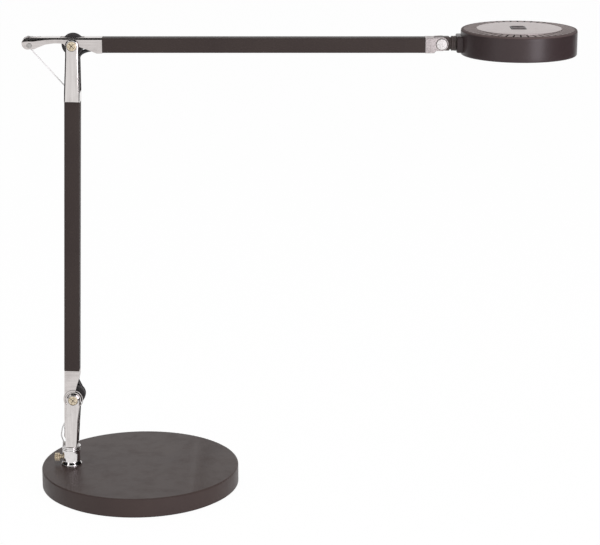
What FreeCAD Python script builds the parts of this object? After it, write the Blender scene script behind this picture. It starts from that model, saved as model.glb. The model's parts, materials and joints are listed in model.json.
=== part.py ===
"""Balanced two-arm desk lamp: weighted base, swivelling post, sprung arms and a flat round LED head.

Millimetres, +Z up, +X along the upper arm, origin at the centre of the base's underside.
Each arm is built lying along +X with its pivot at the origin, and then put in place.
"""

import FreeCAD, Part
import math
import os

V = FreeCAD.Vector
AXIS_X = V(1, 0, 0)
AXIS_Y = V(0, 1, 0)
AXIS_Z = V(0, 0, 1)

# ---------------------------------------------------------------- driving dimensions

# base
BASE_RADIUS = 110.5
BASE_HEIGHT = 22.5
BASE_WALL = 2.0
BASE_TOP_ROUND = 1.6
PAD_THICKNESS = 2.0
PAD_INSET = 3.0
WEIGHT_THICKNESS = 16.5
WEIGHT_GAP = 1.0
BASE_SCREW_COUNT = 3
BASE_SCREW_CIRCLE = 70.0
BASE_SCREW_HEAD = 4.0
BASE_SCREW_SHANK = 2.0
GROMMET_RADIUS = 5.5
GROMMET_LIP = 1.5

# foot of the post
POST_INSET = 33.0
SOCKET_FLANGE_RADIUS = 11.8
SOCKET_FLANGE_HEIGHT = 1.2
SOCKET_CONE_HEIGHT = 2.2
SOCKET_RADIUS = 10.0
SOCKET_HEIGHT = 14.8
SOCKET_STUD_RADIUS = 9.0
SOCKET_NUT_RADIUS = 12.5
SOCKET_NUT_HEIGHT = 3.0
SPIGOT_RADIUS = 7.0
SPIGOT_DEPTH = 30.0
SPIGOT_BORE = 3.2
COLLAR_RADIUS = 10.5
COLLAR_HEIGHT = 4.0
COLLAR_GAP = 0.1
THUMB_HEIGHT_ON_SOCKET = 8.3
THUMB_SHANK_RADIUS = 2.0
THUMB_HEAD_RADIUS = 4.5
THUMB_HEAD_LENGTH = 5.4
THUMB_REACH = 13.6
THUMB_RIBS = 12

# pivots
SHOULDER_SHIFT = 4.7
SHOULDER_TAIL_ROOM = 14.8
ELBOW_REACH = 61.3
TILT_REACH = 17.5
LEAN = 1.7
BOLT_RADIUS = 2.0
BOLT_HEAD_RADIUS = 6.1
BOLT_HEAD_HEIGHT = 2.6
BOLT_RECESS_RADIUS = 2.6
BOLT_RECESS_DEPTH = 1.2
WASHER_RADIUS = 6.8
WASHER_THICKNESS = 0.8
SPACER_RADIUS = 2.8

# sheet metal of levers and forks
SHEET = 1.6
FORK_SHEET = 2.0
CHEEK_TOP_RADIUS = 7.4
POST_FORK_WIDTH = 13.4
POST_FORK_SHIFT = -3.8
ELBOW_FORK_NECK = 12.0
ELBOW_FORK_NECK_HALF = 7.3
ELBOW_FORK_SLEEVE = 10.0

# arm tubes
TUBE = 16.0
TUBE_WALL = 1.2
TUBE_EDGE_ROUND = 1.5
LOWER_TUBE_WIDTH = 16.9
LOWER_TUBE_START = 32.9
LOWER_TUBE_LENGTH = 303.2
LOWER_TUBE_OFFSET = 2.0
UPPER_TUBE_START = 32.0
UPPER_TUBE_LENGTH = 345.0
UPPER_TUBE_OFFSET = 0.0
TONGUE_LENGTH = 22.0
TONGUE_FIT = 0.05

# levers
UPPER_LEVER_HEIGHT = 16.9
UPPER_TAIL = 45.6
LOWER_TAIL = 42.0
NOSE_DROP = 3.9
NOSE_SWELL = 0.3
NOSE_SHIFT = 1.7
NOSE_LENGTH = 5.0
TAIL_WAIST = 2.3
TAIL_WAIST_END = 10.0
EYE_RADIUS = 7.2
SLANT_END = 26.0
SLANT_RISE = 1.2
BUSH_RADIUS = 3.8
BUSH_GROOVE_RADIUS = 2.85
BUSH_WIDTH = 3.0
BUSH_GROOVE_WIDTH = 1.8
NOSE_PIN_RADIUS = 1.5
NOSE_PIN_HEAD_RADIUS = 2.8
NOSE_PIN_HEAD_HEIGHT = 0.8

# guide discs for the cable
GUIDE_RADIUS = 12.0
GUIDE_GROOVE_RADIUS = 7.8
GUIDE_WIDTH = 6.4
GUIDE_GROOVE_WIDTH = 4.6

# springs and wires
WIRE_RADIUS = 0.7
WIRE_GAP = 0.05
WIRE_SIDE = 4.3
SPRING_RADIUS = 2.4
SPRING_BORE_RADIUS = 1.5
SPRING_LENGTH = 150.0
SPRING_PIN_RADIUS = 1.5
HOOK_LENGTH = 9.0
HOOK_RADIUS = 2.2
HOOK_START = 84.0
WIRE_ANCHOR_ANGLE = 5.5
WIRE_PIN_RADIUS = 1.5
WIRE_END_LENGTH = 5.0
WIRE_END_RADIUS = 1.2
ANCHOR_LENGTH = 4.4
ANCHOR_HEIGHT = 2.6
WIRE_BEND = 24.0
WIRE_BEND_END = 12.0
ANCHOR_WIDTH = 2.6

# electric cable
CABLE_RADIUS = 2.1
CABLE_TUBE_DROP = 4.6
SHOULDER_CABLE_SHIFT = 3.8
ELBOW_CABLE_SHIFT = 3.6
HEAD_LEAD_RADIUS = 1.3
LEAD_CLEARANCE = 0.4

# head joint
TILT_RISE = 1.5
BRACKET_LENGTH = 9.4
EAR_RADIUS = 7.3
EAR_THICKNESS = 3.4
EAR_GAP = 9.6
TILT_BOLT_RADIUS = 2.0
TILT_BOLT_HEAD_RADIUS = 5.9
TILT_BOLT_HEAD_HEIGHT = 1.4
KNUCKLE_CLEARANCE = 0.4
KNUCKLE_DISC_START = 7.9
KNUCKLE_DISC_THICKNESS = 2.0
KNUCKLE_DISC_RADIUS = 6.8
KNUCKLE_BARREL_RADIUS = 4.6
KNUCKLE_BARREL_LENGTH = 9.0
NECK_RADIUS = 8.0
NECK_LENGTH = 5.8
NECK_GAP = 0.3
COLLAR_BLOCK_HEIGHT = 17.8
COLLAR_BLOCK_WIDTH = 26.0
COLLAR_BLOCK_DEPTH = 7.6

# head
HEAD_RADIUS = 62.2
HEAD_CENTRE = 82.9
HEAD_HEIGHT = 27.0
HEAD_SHIFT = 2.05
HEAD_WALL = 1.8
HEAD_FLOOR = 2.2
HEAD_EDGE_ROUND = 1.2
RIM_WIDTH = 16.6
RIM_DEPTH = 7.0
RIM_SEAT = 2.0
RIM_RIBS = 46
RIM_SLOT_WIDTH = 1.8
RIM_SLOT_DEPTH = 4.5
RIM_SLOT_INSET = 0.8
RIM_SLOT_LENGTH = 12.6
PLATE_PROUD = 0.9
PLATE_THICKNESS = 3.0
PLATE_GAP = 0.25
LED_BOARD_RADIUS = 52.0
LED_BOARD_THICKNESS = 1.6
LED_BOARD_HEIGHT = 15.0
LED_COUNT = 24
LED_CIRCLE = 42.0
LED_SIZE = 3.0
LED_HEIGHT = 0.8
DIFFUSER_RADIUS = 56.0
DIFFUSER_THICKNESS = 2.0
KEY_PANEL_X = 16.4
KEY_PANEL_Y = 20.8
KEY_PANEL_SHIFT_X = -1.1
KEY_PANEL_SHIFT_Y = 0.0
KEY_PANEL_PROUD = 0.5
KEY_LENGTH = 8.0
KEY_WIDTH = 13.0
KEY_BAR = 1.2
KEY_PROUD = 0.5
KEY_TRAVEL = 0.8
KEY_GAP = 0.3
KEY_HEIGHT = 2.2

# ---------------------------------------------------------------- derived sizes

base_top = BASE_HEIGHT
post_x = POST_INSET - BASE_RADIUS
shoulder_x = post_x + SHOULDER_SHIFT
lower_length = LOWER_TUBE_START + LOWER_TUBE_LENGTH + ELBOW_REACH
upper_length = UPPER_TUBE_START + UPPER_TUBE_LENGTH + TILT_REACH
cone_bottom = base_top + SOCKET_FLANGE_HEIGHT
cone_top = cone_bottom + SOCKET_CONE_HEIGHT
socket_top = cone_top + SOCKET_HEIGHT
collar_bottom = socket_top + COLLAR_GAP
collar_top = collar_bottom + COLLAR_HEIGHT
shoulder_height = collar_top + SHOULDER_TAIL_ROOM + LOWER_TAIL
bridge_top = collar_top + FORK_SHEET
lever_half = TUBE / 2
cheek_inner = lever_half + WASHER_THICKNESS
cheek_outer = cheek_inner + FORK_SHEET
plate_inner = lever_half - SHEET
wire_offset = BUSH_GROOVE_RADIUS + WIRE_RADIUS + WIRE_GAP
knuckle_radius = EAR_RADIUS
head_top_local = HEAD_SHIFT + HEAD_HEIGHT / 2
head_bottom_local = HEAD_SHIFT - HEAD_HEIGHT / 2


# ---------------------------------------------------------------- small helpers

def box(x0, x1, y0, y1, z0, z1):
    return Part.makeBox(x1 - x0, y1 - y0, z1 - z0, V(x0, y0, z0))


def rod(radius, start, end):
    """Cylinder between two points."""
    return Part.makeCylinder(radius, (end - start).Length, start, end - start)


def ring(outer, inner, start, end):
    return rod(outer, start, end).cut(rod(inner, start, end))


def slab(points, y0, y1):
    """Flat plate with the outline points (x, z), from y0 to y1."""
    corners = [V(x, y0, z) for x, z in points]
    face = Part.Face(Part.makePolygon(corners + corners[:1]))
    return face.extrude(V(0, y1 - y0, 0))


def arc_points(first, middle, last, count):
    """Evenly spread (x, z) points on the arc through three points, without its first point."""
    arc = Part.Arc(V(first[0], 0, first[1]), V(middle[0], 0, middle[1]), V(last[0], 0, last[1]))
    found = []
    for index in range(1, count + 1):
        share = index / count
        point = arc.value(arc.FirstParameter + share * (arc.LastParameter - arc.FirstParameter))
        found.append((point.x, point.z))
    return found


def edges_along(shape, axis):
    found = []
    for edge in shape.Edges:
        if not isinstance(edge.Curve, Part.Line):
            continue
        if abs(abs(edge.tangentAt(edge.FirstParameter).dot(axis)) - 1) < 1e-6:
            found.append(edge)
    return found


def circles_at(shape, radius, z):
    """Circular edges about a vertical axis, of one radius and at one height."""
    found = []
    for edge in shape.Edges:
        if not isinstance(edge.Curve, Part.Circle):
            continue
        if abs(edge.Curve.Radius - radius) > 1e-4:
            continue
        if abs(edge.Curve.Center.z - z) < 1e-4:
            found.append(edge)
    return found


def arm_tube(x0, x1, z, width):
    """Tube along X with rounded long edges; width is its size in the arm's plane, centred at z."""
    half = width / 2
    bore = half - TUBE_WALL
    depth_bore = lever_half - TUBE_WALL
    body = box(x0, x1, -lever_half, lever_half, z - half, z + half)
    body = body.makeFillet(TUBE_EDGE_ROUND, edges_along(body, AXIS_X))
    return body.cut(box(x0, x1, -depth_bore, depth_bore, z - bore, z + bore))


def cord_path(points):
    """Straight runs joined by tangent arcs, each arc as large as its two runs allow."""
    edges = []
    radii = []
    start = points[0]
    for before, corner, after in zip(points, points[1:], points[2:]):
        into = (corner - before).normalize()
        out = (after - corner).normalize()
        turn = into.getAngle(out)
        shorter = min((corner - before).Length, (after - corner).Length)
        trim = 0.45 * shorter
        first = corner - into * trim
        last = corner + out * trim
        radius = trim / math.tan(turn / 2)
        bisector = (out - into).normalize()
        centre = corner + bisector * (radius / math.cos(turn / 2))
        middle = centre - bisector * radius
        edges.append(Part.LineSegment(start, first).toShape())
        edges.append(Part.Arc(first, middle, last).toShape())
        radii.append(round(radius, 1))
        start = last
    edges.append(Part.LineSegment(start, points[-1]).toShape())
    return Part.Wire(edges), radii


def cord(name, radius, points):
    """Round cord along a path; prints its bend radii and compares its volume with the path's."""
    path, radii = cord_path(points)
    profile = Part.Wire(Part.makeCircle(radius, points[0], points[1] - points[0]))
    solid = path.makePipeShell([profile], True, False)
    expected = math.pi * radius**2 * path.Length
    print(name, "radii", radii, "volume ratio", round(solid.Volume / expected, 4))
    return solid


def arm_point(x, z, y=0.0):
    """Point of the lower arm's own frame in the object's frame."""
    lean = math.radians(LEAN)
    along = V(math.sin(lean), 0, math.cos(lean))
    across = V(-math.cos(lean), 0, math.sin(lean))
    return V(shoulder_x, y, shoulder_height) + along * x + across * z


def elbow_place():
    return arm_point(lower_length, LOWER_TUBE_OFFSET)


def on_lower(shape):
    """From the lower arm's own frame to its place on the post."""
    placed = shape.copy()
    placed.rotate(V(0, 0, 0), AXIS_Y, LEAN - 90)
    placed.translate(V(shoulder_x, 0, shoulder_height))
    return placed


def on_upper(shape):
    """From the upper arm's own frame to its place at the elbow."""
    placed = shape.copy()
    placed.translate(elbow_place())
    return placed


def on_head(shape):
    """From the head's frame, with the tilt pivot at its origin, to its place on the upper arm."""
    placed = shape.copy()
    placed.translate(V(upper_length, 0, TILT_RISE))
    return on_upper(placed)


# ---------------------------------------------------------------- base

def base_cover():
    cover = Part.makeCylinder(BASE_RADIUS, BASE_HEIGHT - PAD_THICKNESS, V(0, 0, PAD_THICKNESS))
    cover = cover.makeFillet(BASE_TOP_ROUND, circles_at(cover, BASE_RADIUS, BASE_HEIGHT))
    inside = Part.makeCylinder(
        BASE_RADIUS - BASE_WALL, BASE_HEIGHT - BASE_WALL - PAD_THICKNESS, V(0, 0, PAD_THICKNESS)
    )
    cover = cover.cut(inside)
    cover = cover.cut(rod(SOCKET_STUD_RADIUS + 0.1, V(post_x, 0, 0), V(post_x, 0, BASE_HEIGHT)))
    grommet_z = BASE_HEIGHT - BASE_WALL - GROMMET_RADIUS - GROMMET_LIP
    hole = rod(GROMMET_RADIUS, V(0, BASE_RADIUS - 4 * BASE_WALL, grommet_z), V(0, BASE_RADIUS + 1, grommet_z))
    return cover.cut(hole)


def base_weight():
    """Heavy plate under the cover; a slot leaves room for the nut and the inner lead."""
    top = PAD_THICKNESS + WEIGHT_THICKNESS
    radius = BASE_RADIUS - BASE_WALL - WEIGHT_GAP
    plate = Part.makeCylinder(radius, WEIGHT_THICKNESS, V(0, 0, PAD_THICKNESS))
    plate = plate.cut(rod(SOCKET_NUT_RADIUS + 2, V(post_x, 0, 0), V(post_x, 0, top)))
    lane = 2 * (GROMMET_RADIUS + GROMMET_LIP + 1)
    plate = plate.cut(box(-lane / 2, lane / 2, -lane / 2, BASE_RADIUS, PAD_THICKNESS + 2, top))
    plate = plate.cut(box(post_x, lane / 2, -lane / 2, lane / 2, PAD_THICKNESS + 2, top))
    plate = plate.cut(rod(lane, V(-lane / 2, 0, PAD_THICKNESS + 2), V(-lane / 2, 0, top)))
    for place in screw_places():
        plate = plate.cut(rod(BASE_SCREW_SHANK, place, place + V(0, 0, top)))
        plate = plate.cut(rod(BASE_SCREW_HEAD + 0.2, place, place + V(0, 0, 2.6)))
    return plate


def screw_places():
    places = []
    for index in range(BASE_SCREW_COUNT):
        turn = math.radians(30 + 360 * index / BASE_SCREW_COUNT)
        x = BASE_SCREW_CIRCLE * math.cos(turn)
        y = BASE_SCREW_CIRCLE * math.sin(turn)
        places.append(V(x, y, PAD_THICKNESS))
    return places


def base_screws():
    screws = []
    for place in screw_places():
        head = rod(BASE_SCREW_HEAD, place, place + V(0, 0, 2.4))
        under_cover = BASE_HEIGHT - BASE_WALL - place.z
        shank = rod(BASE_SCREW_SHANK - 0.05, place + V(0, 0, 2.4), place + V(0, 0, under_cover))
        screws.append(head.fuse(shank))
    return Part.makeCompound(screws)


def base_pad():
    pad = Part.makeCylinder(BASE_RADIUS - PAD_INSET, PAD_THICKNESS)
    return pad.makeFillet(0.5, circles_at(pad, BASE_RADIUS - PAD_INSET, 0))


def cable_grommet():
    """Rubber inlet in the base's rear wall."""
    z = BASE_HEIGHT - BASE_WALL - GROMMET_RADIUS - GROMMET_LIP
    outside = BASE_RADIUS + GROMMET_LIP
    inside = BASE_RADIUS - BASE_WALL - GROMMET_LIP
    body = rod(GROMMET_RADIUS, V(0, inside, z), V(0, outside, z))
    lip = rod(GROMMET_RADIUS + GROMMET_LIP, V(0, BASE_RADIUS, z), V(0, outside, z))
    body = body.fuse(lip)
    body = body.cut(rod(CABLE_RADIUS + 0.9, V(0, inside, z), V(0, outside, z)))
    wall = Part.makeCylinder(BASE_RADIUS, BASE_HEIGHT).cut(
        Part.makeCylinder(BASE_RADIUS - BASE_WALL, BASE_HEIGHT)
    )
    hole = rod(GROMMET_RADIUS, V(0, inside, z), V(0, BASE_RADIUS + 1, z))
    return body.cut(wall.cut(hole))


def base_lead():
    """Lead under the cover, from the inlet to the contact below the post."""
    z = BASE_HEIGHT - BASE_WALL - GROMMET_RADIUS - GROMMET_LIP
    radius = BASE_RADIUS - BASE_WALL - 3 * GROMMET_LIP
    points = [V(0, radius, z)]
    points.append(V(0, radius * 0.62, z))
    points.append(V(-0.5, radius * 0.3, z - 0.5))
    points.append(V(-4, 10, z - 0.5))
    points.append(V(-16, 1.5, z - 0.5))
    points.append(V(post_x * 0.5, 0, z - 0.5))
    points.append(V(post_x * 0.76, 0.5, z - 0.5))
    return cord("base_lead", CABLE_RADIUS, points)


# ---------------------------------------------------------------- foot and post

def foot_socket():
    stud_bottom = BASE_HEIGHT - BASE_WALL - SOCKET_NUT_HEIGHT - 1
    body = rod(SOCKET_FLANGE_RADIUS, V(post_x, 0, base_top), V(post_x, 0, cone_bottom))
    cone = Part.makeCone(SOCKET_FLANGE_RADIUS, SOCKET_RADIUS, SOCKET_CONE_HEIGHT, V(post_x, 0, cone_bottom))
    body = body.fuse(cone)
    body = body.fuse(rod(SOCKET_RADIUS, V(post_x, 0, cone_top), V(post_x, 0, socket_top)))
    body = body.fuse(rod(SOCKET_STUD_RADIUS, V(post_x, 0, stud_bottom), V(post_x, 0, base_top)))
    body = body.makeFillet(0.6, circles_at(body, SOCKET_RADIUS, socket_top))
    body = body.cut(rod(SPIGOT_RADIUS + 0.05, V(post_x, 0, stud_bottom), V(post_x, 0, socket_top)))
    thumb_z = base_top + THUMB_HEIGHT_ON_SOCKET
    thread = rod(THUMB_SHANK_RADIUS + 0.05, V(post_x - 2 * SOCKET_RADIUS, 0, thumb_z), V(post_x, 0, thumb_z))
    return body.cut(thread)


def hexagon(radius, z0, z1, x):
    corners = []
    for index in range(6):
        turn = math.radians(60 * index)
        corners.append(V(x + radius * math.cos(turn), radius * math.sin(turn), z0))
    return Part.Face(Part.makePolygon(corners + corners[:1])).extrude(V(0, 0, z1 - z0))


def socket_nut():
    top = BASE_HEIGHT - BASE_WALL
    nut = hexagon(SOCKET_NUT_RADIUS, top - SOCKET_NUT_HEIGHT, top, post_x)
    return nut.cut(rod(SOCKET_STUD_RADIUS, V(post_x, 0, 0), V(post_x, 0, top)))


def thumb_screw():
    """Knurled screw that presses on the spigot from the left."""
    z = base_top + THUMB_HEIGHT_ON_SOCKET
    tip = V(post_x - SPIGOT_RADIUS - 0.1, 0, z)
    head_start = V(post_x - THUMB_REACH, 0, z)
    head_end = head_start - V(THUMB_HEAD_LENGTH, 0, 0)
    head = rod(THUMB_HEAD_RADIUS, head_start, head_end)
    for index in range(THUMB_RIBS):
        turn = math.radians(360 * index / THUMB_RIBS)
        side = V(0, THUMB_HEAD_RADIUS * math.cos(turn), THUMB_HEAD_RADIUS * math.sin(turn))
        head = head.cut(rod(0.45, head_start + side, head_end + side))
    neck = rod(THUMB_SHANK_RADIUS + 1, head_start + V(1.5, 0, 0), head_start)
    return head.fuse(neck).fuse(rod(THUMB_SHANK_RADIUS, tip, head_start))


def cable_way():
    """Slanting way for the cable, from the spigot's bore to the right side of the fork."""
    half = CABLE_RADIUS + LEAD_CLEARANCE
    left = post_x - half
    right = shoulder_x + 7.4
    return box(left, right, -half, half, collar_bottom - 4, bridge_top + 1)


def post_spigot():
    bottom = collar_bottom - SPIGOT_DEPTH + 6
    top = collar_top
    spigot = rod(SPIGOT_RADIUS, V(post_x, 0, bottom), V(post_x, 0, top))
    spigot = spigot.cut(rod(SPIGOT_BORE, V(post_x, 0, bottom), V(post_x, 0, top)))
    return spigot.cut(cable_way())


def post_collar():
    collar = rod(COLLAR_RADIUS, V(post_x, 0, collar_bottom), V(post_x, 0, collar_top))
    collar = collar.makeFillet(0.8, circles_at(collar, COLLAR_RADIUS, collar_bottom))
    collar = collar.makeFillet(0.8, circles_at(collar, COLLAR_RADIUS, collar_top))
    collar = collar.cut(rod(SPIGOT_RADIUS, V(post_x, 0, collar_bottom), V(post_x, 0, collar_top)))
    return collar.cut(cable_way())


def cheek(bottom_left, bottom_right, z0, centre, y0, y1):
    """Plate that tapers from a straight foot to a round top about a pivot."""
    radius = CHEEK_TOP_RADIUS
    foot = [(bottom_left, z0), (bottom_right, z0)]
    foot += [(centre.x + radius, centre.z), (centre.x - radius, centre.z)]
    plate = slab(foot, y0, y1)
    top = rod(radius, V(centre.x, y0, centre.z), V(centre.x, y1, centre.z))
    return plate.fuse(top).removeSplitter()


def fork_left():
    return shoulder_x + POST_FORK_SHIFT - POST_FORK_WIDTH / 2


def post_fork():
    pivot = V(shoulder_x, 0, shoulder_height)
    left = fork_left()
    right = left + POST_FORK_WIDTH
    front = cheek(left, right, collar_top, pivot, -cheek_outer, -cheek_inner)
    rear = cheek(left, right, collar_top, pivot, cheek_inner, cheek_outer)
    bridge = box(left, right, -cheek_inner, cheek_inner, collar_top, bridge_top)
    fork = front.fuse(rear).fuse(bridge).removeSplitter()
    fork = fork.cut(rod(BOLT_RADIUS + 0.05, V(shoulder_x, -20, shoulder_height), V(shoulder_x, 20, shoulder_height)))
    return fork.cut(cable_way())


def shoulder_anchor():
    """Small lug beside the fork, on the collar, that holds the shoulder wire."""
    right = fork_left()
    front = WIRE_SIDE - ANCHOR_WIDTH / 2
    rear = front + ANCHOR_WIDTH
    return box(right - ANCHOR_LENGTH, right, front, rear, collar_top, collar_top + ANCHOR_HEIGHT)


# ---------------------------------------------------------------- pivots, about a pivot at the origin

def pivot_bolt():
    """Bolt through both cheeks; its head has a round recess."""
    head_back = -cheek_outer
    head_front = head_back - BOLT_HEAD_HEIGHT
    bolt = rod(BOLT_HEAD_RADIUS, V(0, head_front, 0), V(0, head_back, 0))
    front_edge = [e for e in bolt.Edges if isinstance(e.Curve, Part.Circle) and e.Curve.Center.y < head_back - 1]
    bolt = bolt.makeFillet(0.7, front_edge)
    bolt = bolt.cut(rod(BOLT_RECESS_RADIUS, V(0, head_front, 0), V(0, head_front + BOLT_RECESS_DEPTH, 0)))
    return bolt.fuse(rod(BOLT_RADIUS, V(0, head_back, 0), V(0, cheek_outer, 0)))


def pivot_nut():
    """Smooth cap nut on the far side."""
    back = cheek_outer + BOLT_HEAD_HEIGHT
    nut = rod(BOLT_HEAD_RADIUS, V(0, cheek_outer, 0), V(0, back, 0))
    rear_edge = [e for e in nut.Edges if isinstance(e.Curve, Part.Circle) and e.Curve.Center.y > back - 0.1]
    return nut.makeFillet(0.7, rear_edge)


def pivot_washers():
    """Friction washers between lever and cheeks, and spacers beside the guide disc."""
    hole = BOLT_RADIUS + 0.05
    washers = []
    for y0, y1 in ((-cheek_inner, -lever_half), (lever_half, cheek_inner)):
        washers.append(ring(WASHER_RADIUS, hole, V(0, y0, 0), V(0, y1, 0)))
    for y0, y1 in ((-plate_inner, -GUIDE_WIDTH / 2), (GUIDE_WIDTH / 2, plate_inner)):
        washers.append(ring(SPACER_RADIUS, hole, V(0, y0, 0), V(0, y1, 0)))
    return Part.makeCompound(washers)


def guide_disc():
    """Grooved disc on the bolt that leads the electric cable past the pivot."""
    half = GUIDE_WIDTH / 2
    groove_half = GUIDE_GROOVE_WIDTH / 2
    disc = rod(GUIDE_RADIUS, V(0, -half, 0), V(0, half, 0))
    groove = ring(GUIDE_RADIUS + 1, GUIDE_GROOVE_RADIUS, V(0, -groove_half, 0), V(0, groove_half, 0))
    disc = disc.cut(groove)
    return disc.cut(rod(BOLT_RADIUS + 0.05, V(0, -half, 0), V(0, half, 0)))


# ---------------------------------------------------------------- levers, along +X with the web on +Z

def lever_outline(tail, offset, start, height):
    """Side view of a lever as (x, z) points, from the nose to the tube's end."""
    top = offset + height / 2
    bottom = offset - height / 2
    outline = [(-tail, top)]
    outline.append((start, top))
    outline.append((start, bottom))
    outline.append((SLANT_END, bottom))
    slant_middle = (0.7 * SLANT_END, bottom / 2)
    outline += arc_points((SLANT_END, bottom), slant_middle, (EYE_RADIUS + 1, -SLANT_RISE), 5)
    outline += arc_points((EYE_RADIUS, -1), (0, -EYE_RADIUS), (-EYE_RADIUS, -1), 10)
    waist = (-TAIL_WAIST_END, TAIL_WAIST)
    shoulder = (-tail + NOSE_LENGTH, -NOSE_DROP)
    middle = (-0.62 * tail, TAIL_WAIST - 1)
    outline.append(waist)
    outline += arc_points(waist, middle, shoulder, 8)
    outline.append((-tail, -NOSE_DROP))
    return outline


def nose_centre(tail, offset, height):
    """Centre and radius of the rounded nose that closes a lever's tail."""
    top = offset + height / 2
    centre = V(-tail - NOSE_SHIFT, 0, (top - NOSE_DROP) / 2)
    return centre, (top + NOSE_DROP) / 2 + NOSE_SWELL


def lever(tail, offset, start, height, tube_width):
    """Folded channel: two side plates and a web, a rounded nose and a tongue into the tube."""
    top = offset + height / 2
    outline = lever_outline(tail, offset, start, height)
    body = slab(outline, -lever_half, lever_half)
    body = body.makeFillet(1.2, long_top_edges(body, top))
    centre, radius = nose_centre(tail, offset, height)
    nose = rod(radius, centre - V(0, lever_half, 0), centre + V(0, lever_half, 0))
    hollow_nose = rod(radius - SHEET, centre - V(0, plate_inner, 0), centre + V(0, plate_inner, 0))
    open_side = box(-2 * tail, 0, -plate_inner, plate_inner, -2 * tail, 0)
    body = body.fuse(nose).removeSplitter()
    body = body.cut(box(-tail, start + 1, -plate_inner, plate_inner, -3 * TUBE, top - SHEET))
    body = body.cut(hollow_nose).cut(open_side)
    tongue_half = lever_half - TUBE_WALL - TONGUE_FIT
    tongue_height = tube_width / 2 - TUBE_WALL - TONGUE_FIT
    tongue = box(start - 1, start + TONGUE_LENGTH, -tongue_half, tongue_half, offset - tongue_height, offset + tongue_height)
    hollow = tongue_half - SHEET / 2
    hollow_top = offset + tongue_height - SHEET / 2
    tongue = tongue.cut(box(start - 2, start + TONGUE_LENGTH + 1, -hollow, hollow, offset - tube_width, hollow_top))
    body = body.fuse(tongue).removeSplitter()
    slot_half = GUIDE_WIDTH / 2 + 0.6
    slot_reach = GUIDE_RADIUS + 1
    body = body.cut(box(-slot_reach, slot_reach, -slot_half, slot_half, 0, top + 1))
    body = body.cut(rod(BOLT_RADIUS + 0.05, V(0, -20, 0), V(0, 20, 0)))
    return body.cut(rod(NOSE_PIN_RADIUS, V(-tail, -20, 0), V(-tail, 20, 0)))


def long_top_edges(body, top):
    found = []
    for edge in edges_along(body, AXIS_X):
        middle = edge.CenterOfMass
        if abs(middle.z - top) < 1e-4 and abs(abs(middle.y) - lever_half) < 1e-4:
            found.append(edge)
    return found


def nose_bush(tail):
    """Grooved bush on a pin through the nose; the wire turns round it."""
    half = BUSH_WIDTH / 2
    groove_half = BUSH_GROOVE_WIDTH / 2
    bush = rod(BUSH_RADIUS, V(-tail, WIRE_SIDE - half, 0), V(-tail, WIRE_SIDE + half, 0))
    groove_start = V(-tail, WIRE_SIDE - groove_half, 0)
    groove = ring(BUSH_RADIUS + 1, BUSH_GROOVE_RADIUS, groove_start, groove_start + V(0, BUSH_GROOVE_WIDTH, 0))
    bush = bush.cut(groove)
    pin = rod(NOSE_PIN_RADIUS, V(-tail, -lever_half, 0), V(-tail, lever_half, 0))
    bush = bush.fuse(pin)
    for side in (-1, 1):
        start = V(-tail, side * lever_half, 0)
        head = rod(NOSE_PIN_HEAD_RADIUS, start, start + V(0, side * NOSE_PIN_HEAD_HEIGHT, 0))
        head = head.cut(rod(1.2, start + V(0, side * 0.4, 0), start + V(0, side * NOSE_PIN_HEAD_HEIGHT, 0)))
        bush = bush.fuse(head)
    return bush


# ---------------------------------------------------------------- springs and wires in an arm

def tension_spring():
    """Spring in line with the wire as it leaves the nose bush."""
    start = V(HOOK_START + HOOK_LENGTH, WIRE_SIDE, wire_offset)
    end = start + V(SPRING_LENGTH, 0, 0)
    return ring(SPRING_RADIUS, SPRING_BORE_RADIUS, start, end)


def spring_hook():
    start = V(HOOK_START, WIRE_SIDE, wire_offset)
    return rod(HOOK_RADIUS, start, start + V(HOOK_LENGTH, 0, 0))


def spring_pin():
    """Pin across the tube that holds the spring's far end."""
    half = lever_half - TUBE_WALL / 2
    x = HOOK_START + HOOK_LENGTH + SPRING_LENGTH + SPRING_PIN_RADIUS
    return rod(SPRING_PIN_RADIUS, V(x, -half, wire_offset), V(x, half, wire_offset))


def straight_wire():
    """Wire from the lower hook to where it turns out of the lever."""
    start = WIRE_BEND_END - WIRE_BEND + 2 * WIRE_GAP
    return rod(WIRE_RADIUS, V(start, WIRE_SIDE, wire_offset), V(HOOK_START, WIRE_SIDE, wire_offset))


def inner_wire(tail, wrap):
    """Wire from the hook along the lever to the nose bush, and round it by wrap degrees."""
    top = V(-tail, WIRE_SIDE, wire_offset)
    first = V(HOOK_START, WIRE_SIDE, wire_offset)
    centre = V(-tail, WIRE_SIDE, 0)
    half_turn = math.radians(wrap / 2)
    full_turn = math.radians(wrap)
    middle = centre + V(-math.sin(half_turn), 0, math.cos(half_turn)) * wire_offset
    last = centre + V(-math.sin(full_turn), 0, math.cos(full_turn)) * wire_offset
    around = Part.Arc(last, middle, top).toShape()
    along = Part.LineSegment(top, first).toShape()
    path = Part.Wire([around, along])
    start_direction = V(math.cos(full_turn), 0, math.sin(full_turn))
    profile = Part.Wire(Part.makeCircle(WIRE_RADIUS, last, start_direction))
    return path.makePipeShell([profile], True, False)


def elbow_geometry():
    """Ends of the elbow wire in the upper arm's frame: nose, fork pin, unit direction and side."""
    nose = V(-UPPER_TAIL, WIRE_SIDE, 0)
    toward = math.radians(270 - LEAN - WIRE_ANCHOR_ANGLE)
    pin = V(UPPER_TAIL * math.cos(toward), WIRE_SIDE, UPPER_TAIL * math.sin(toward))
    direction = (pin - nose).normalize()
    side = V(direction.z, 0, -direction.x)
    return nose, pin, direction, side


def elbow_wire():
    nose, pin, direction, side = elbow_geometry()
    start = nose + side * wire_offset
    end = pin + side * wire_offset
    return rod(WIRE_RADIUS, start, end)


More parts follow.
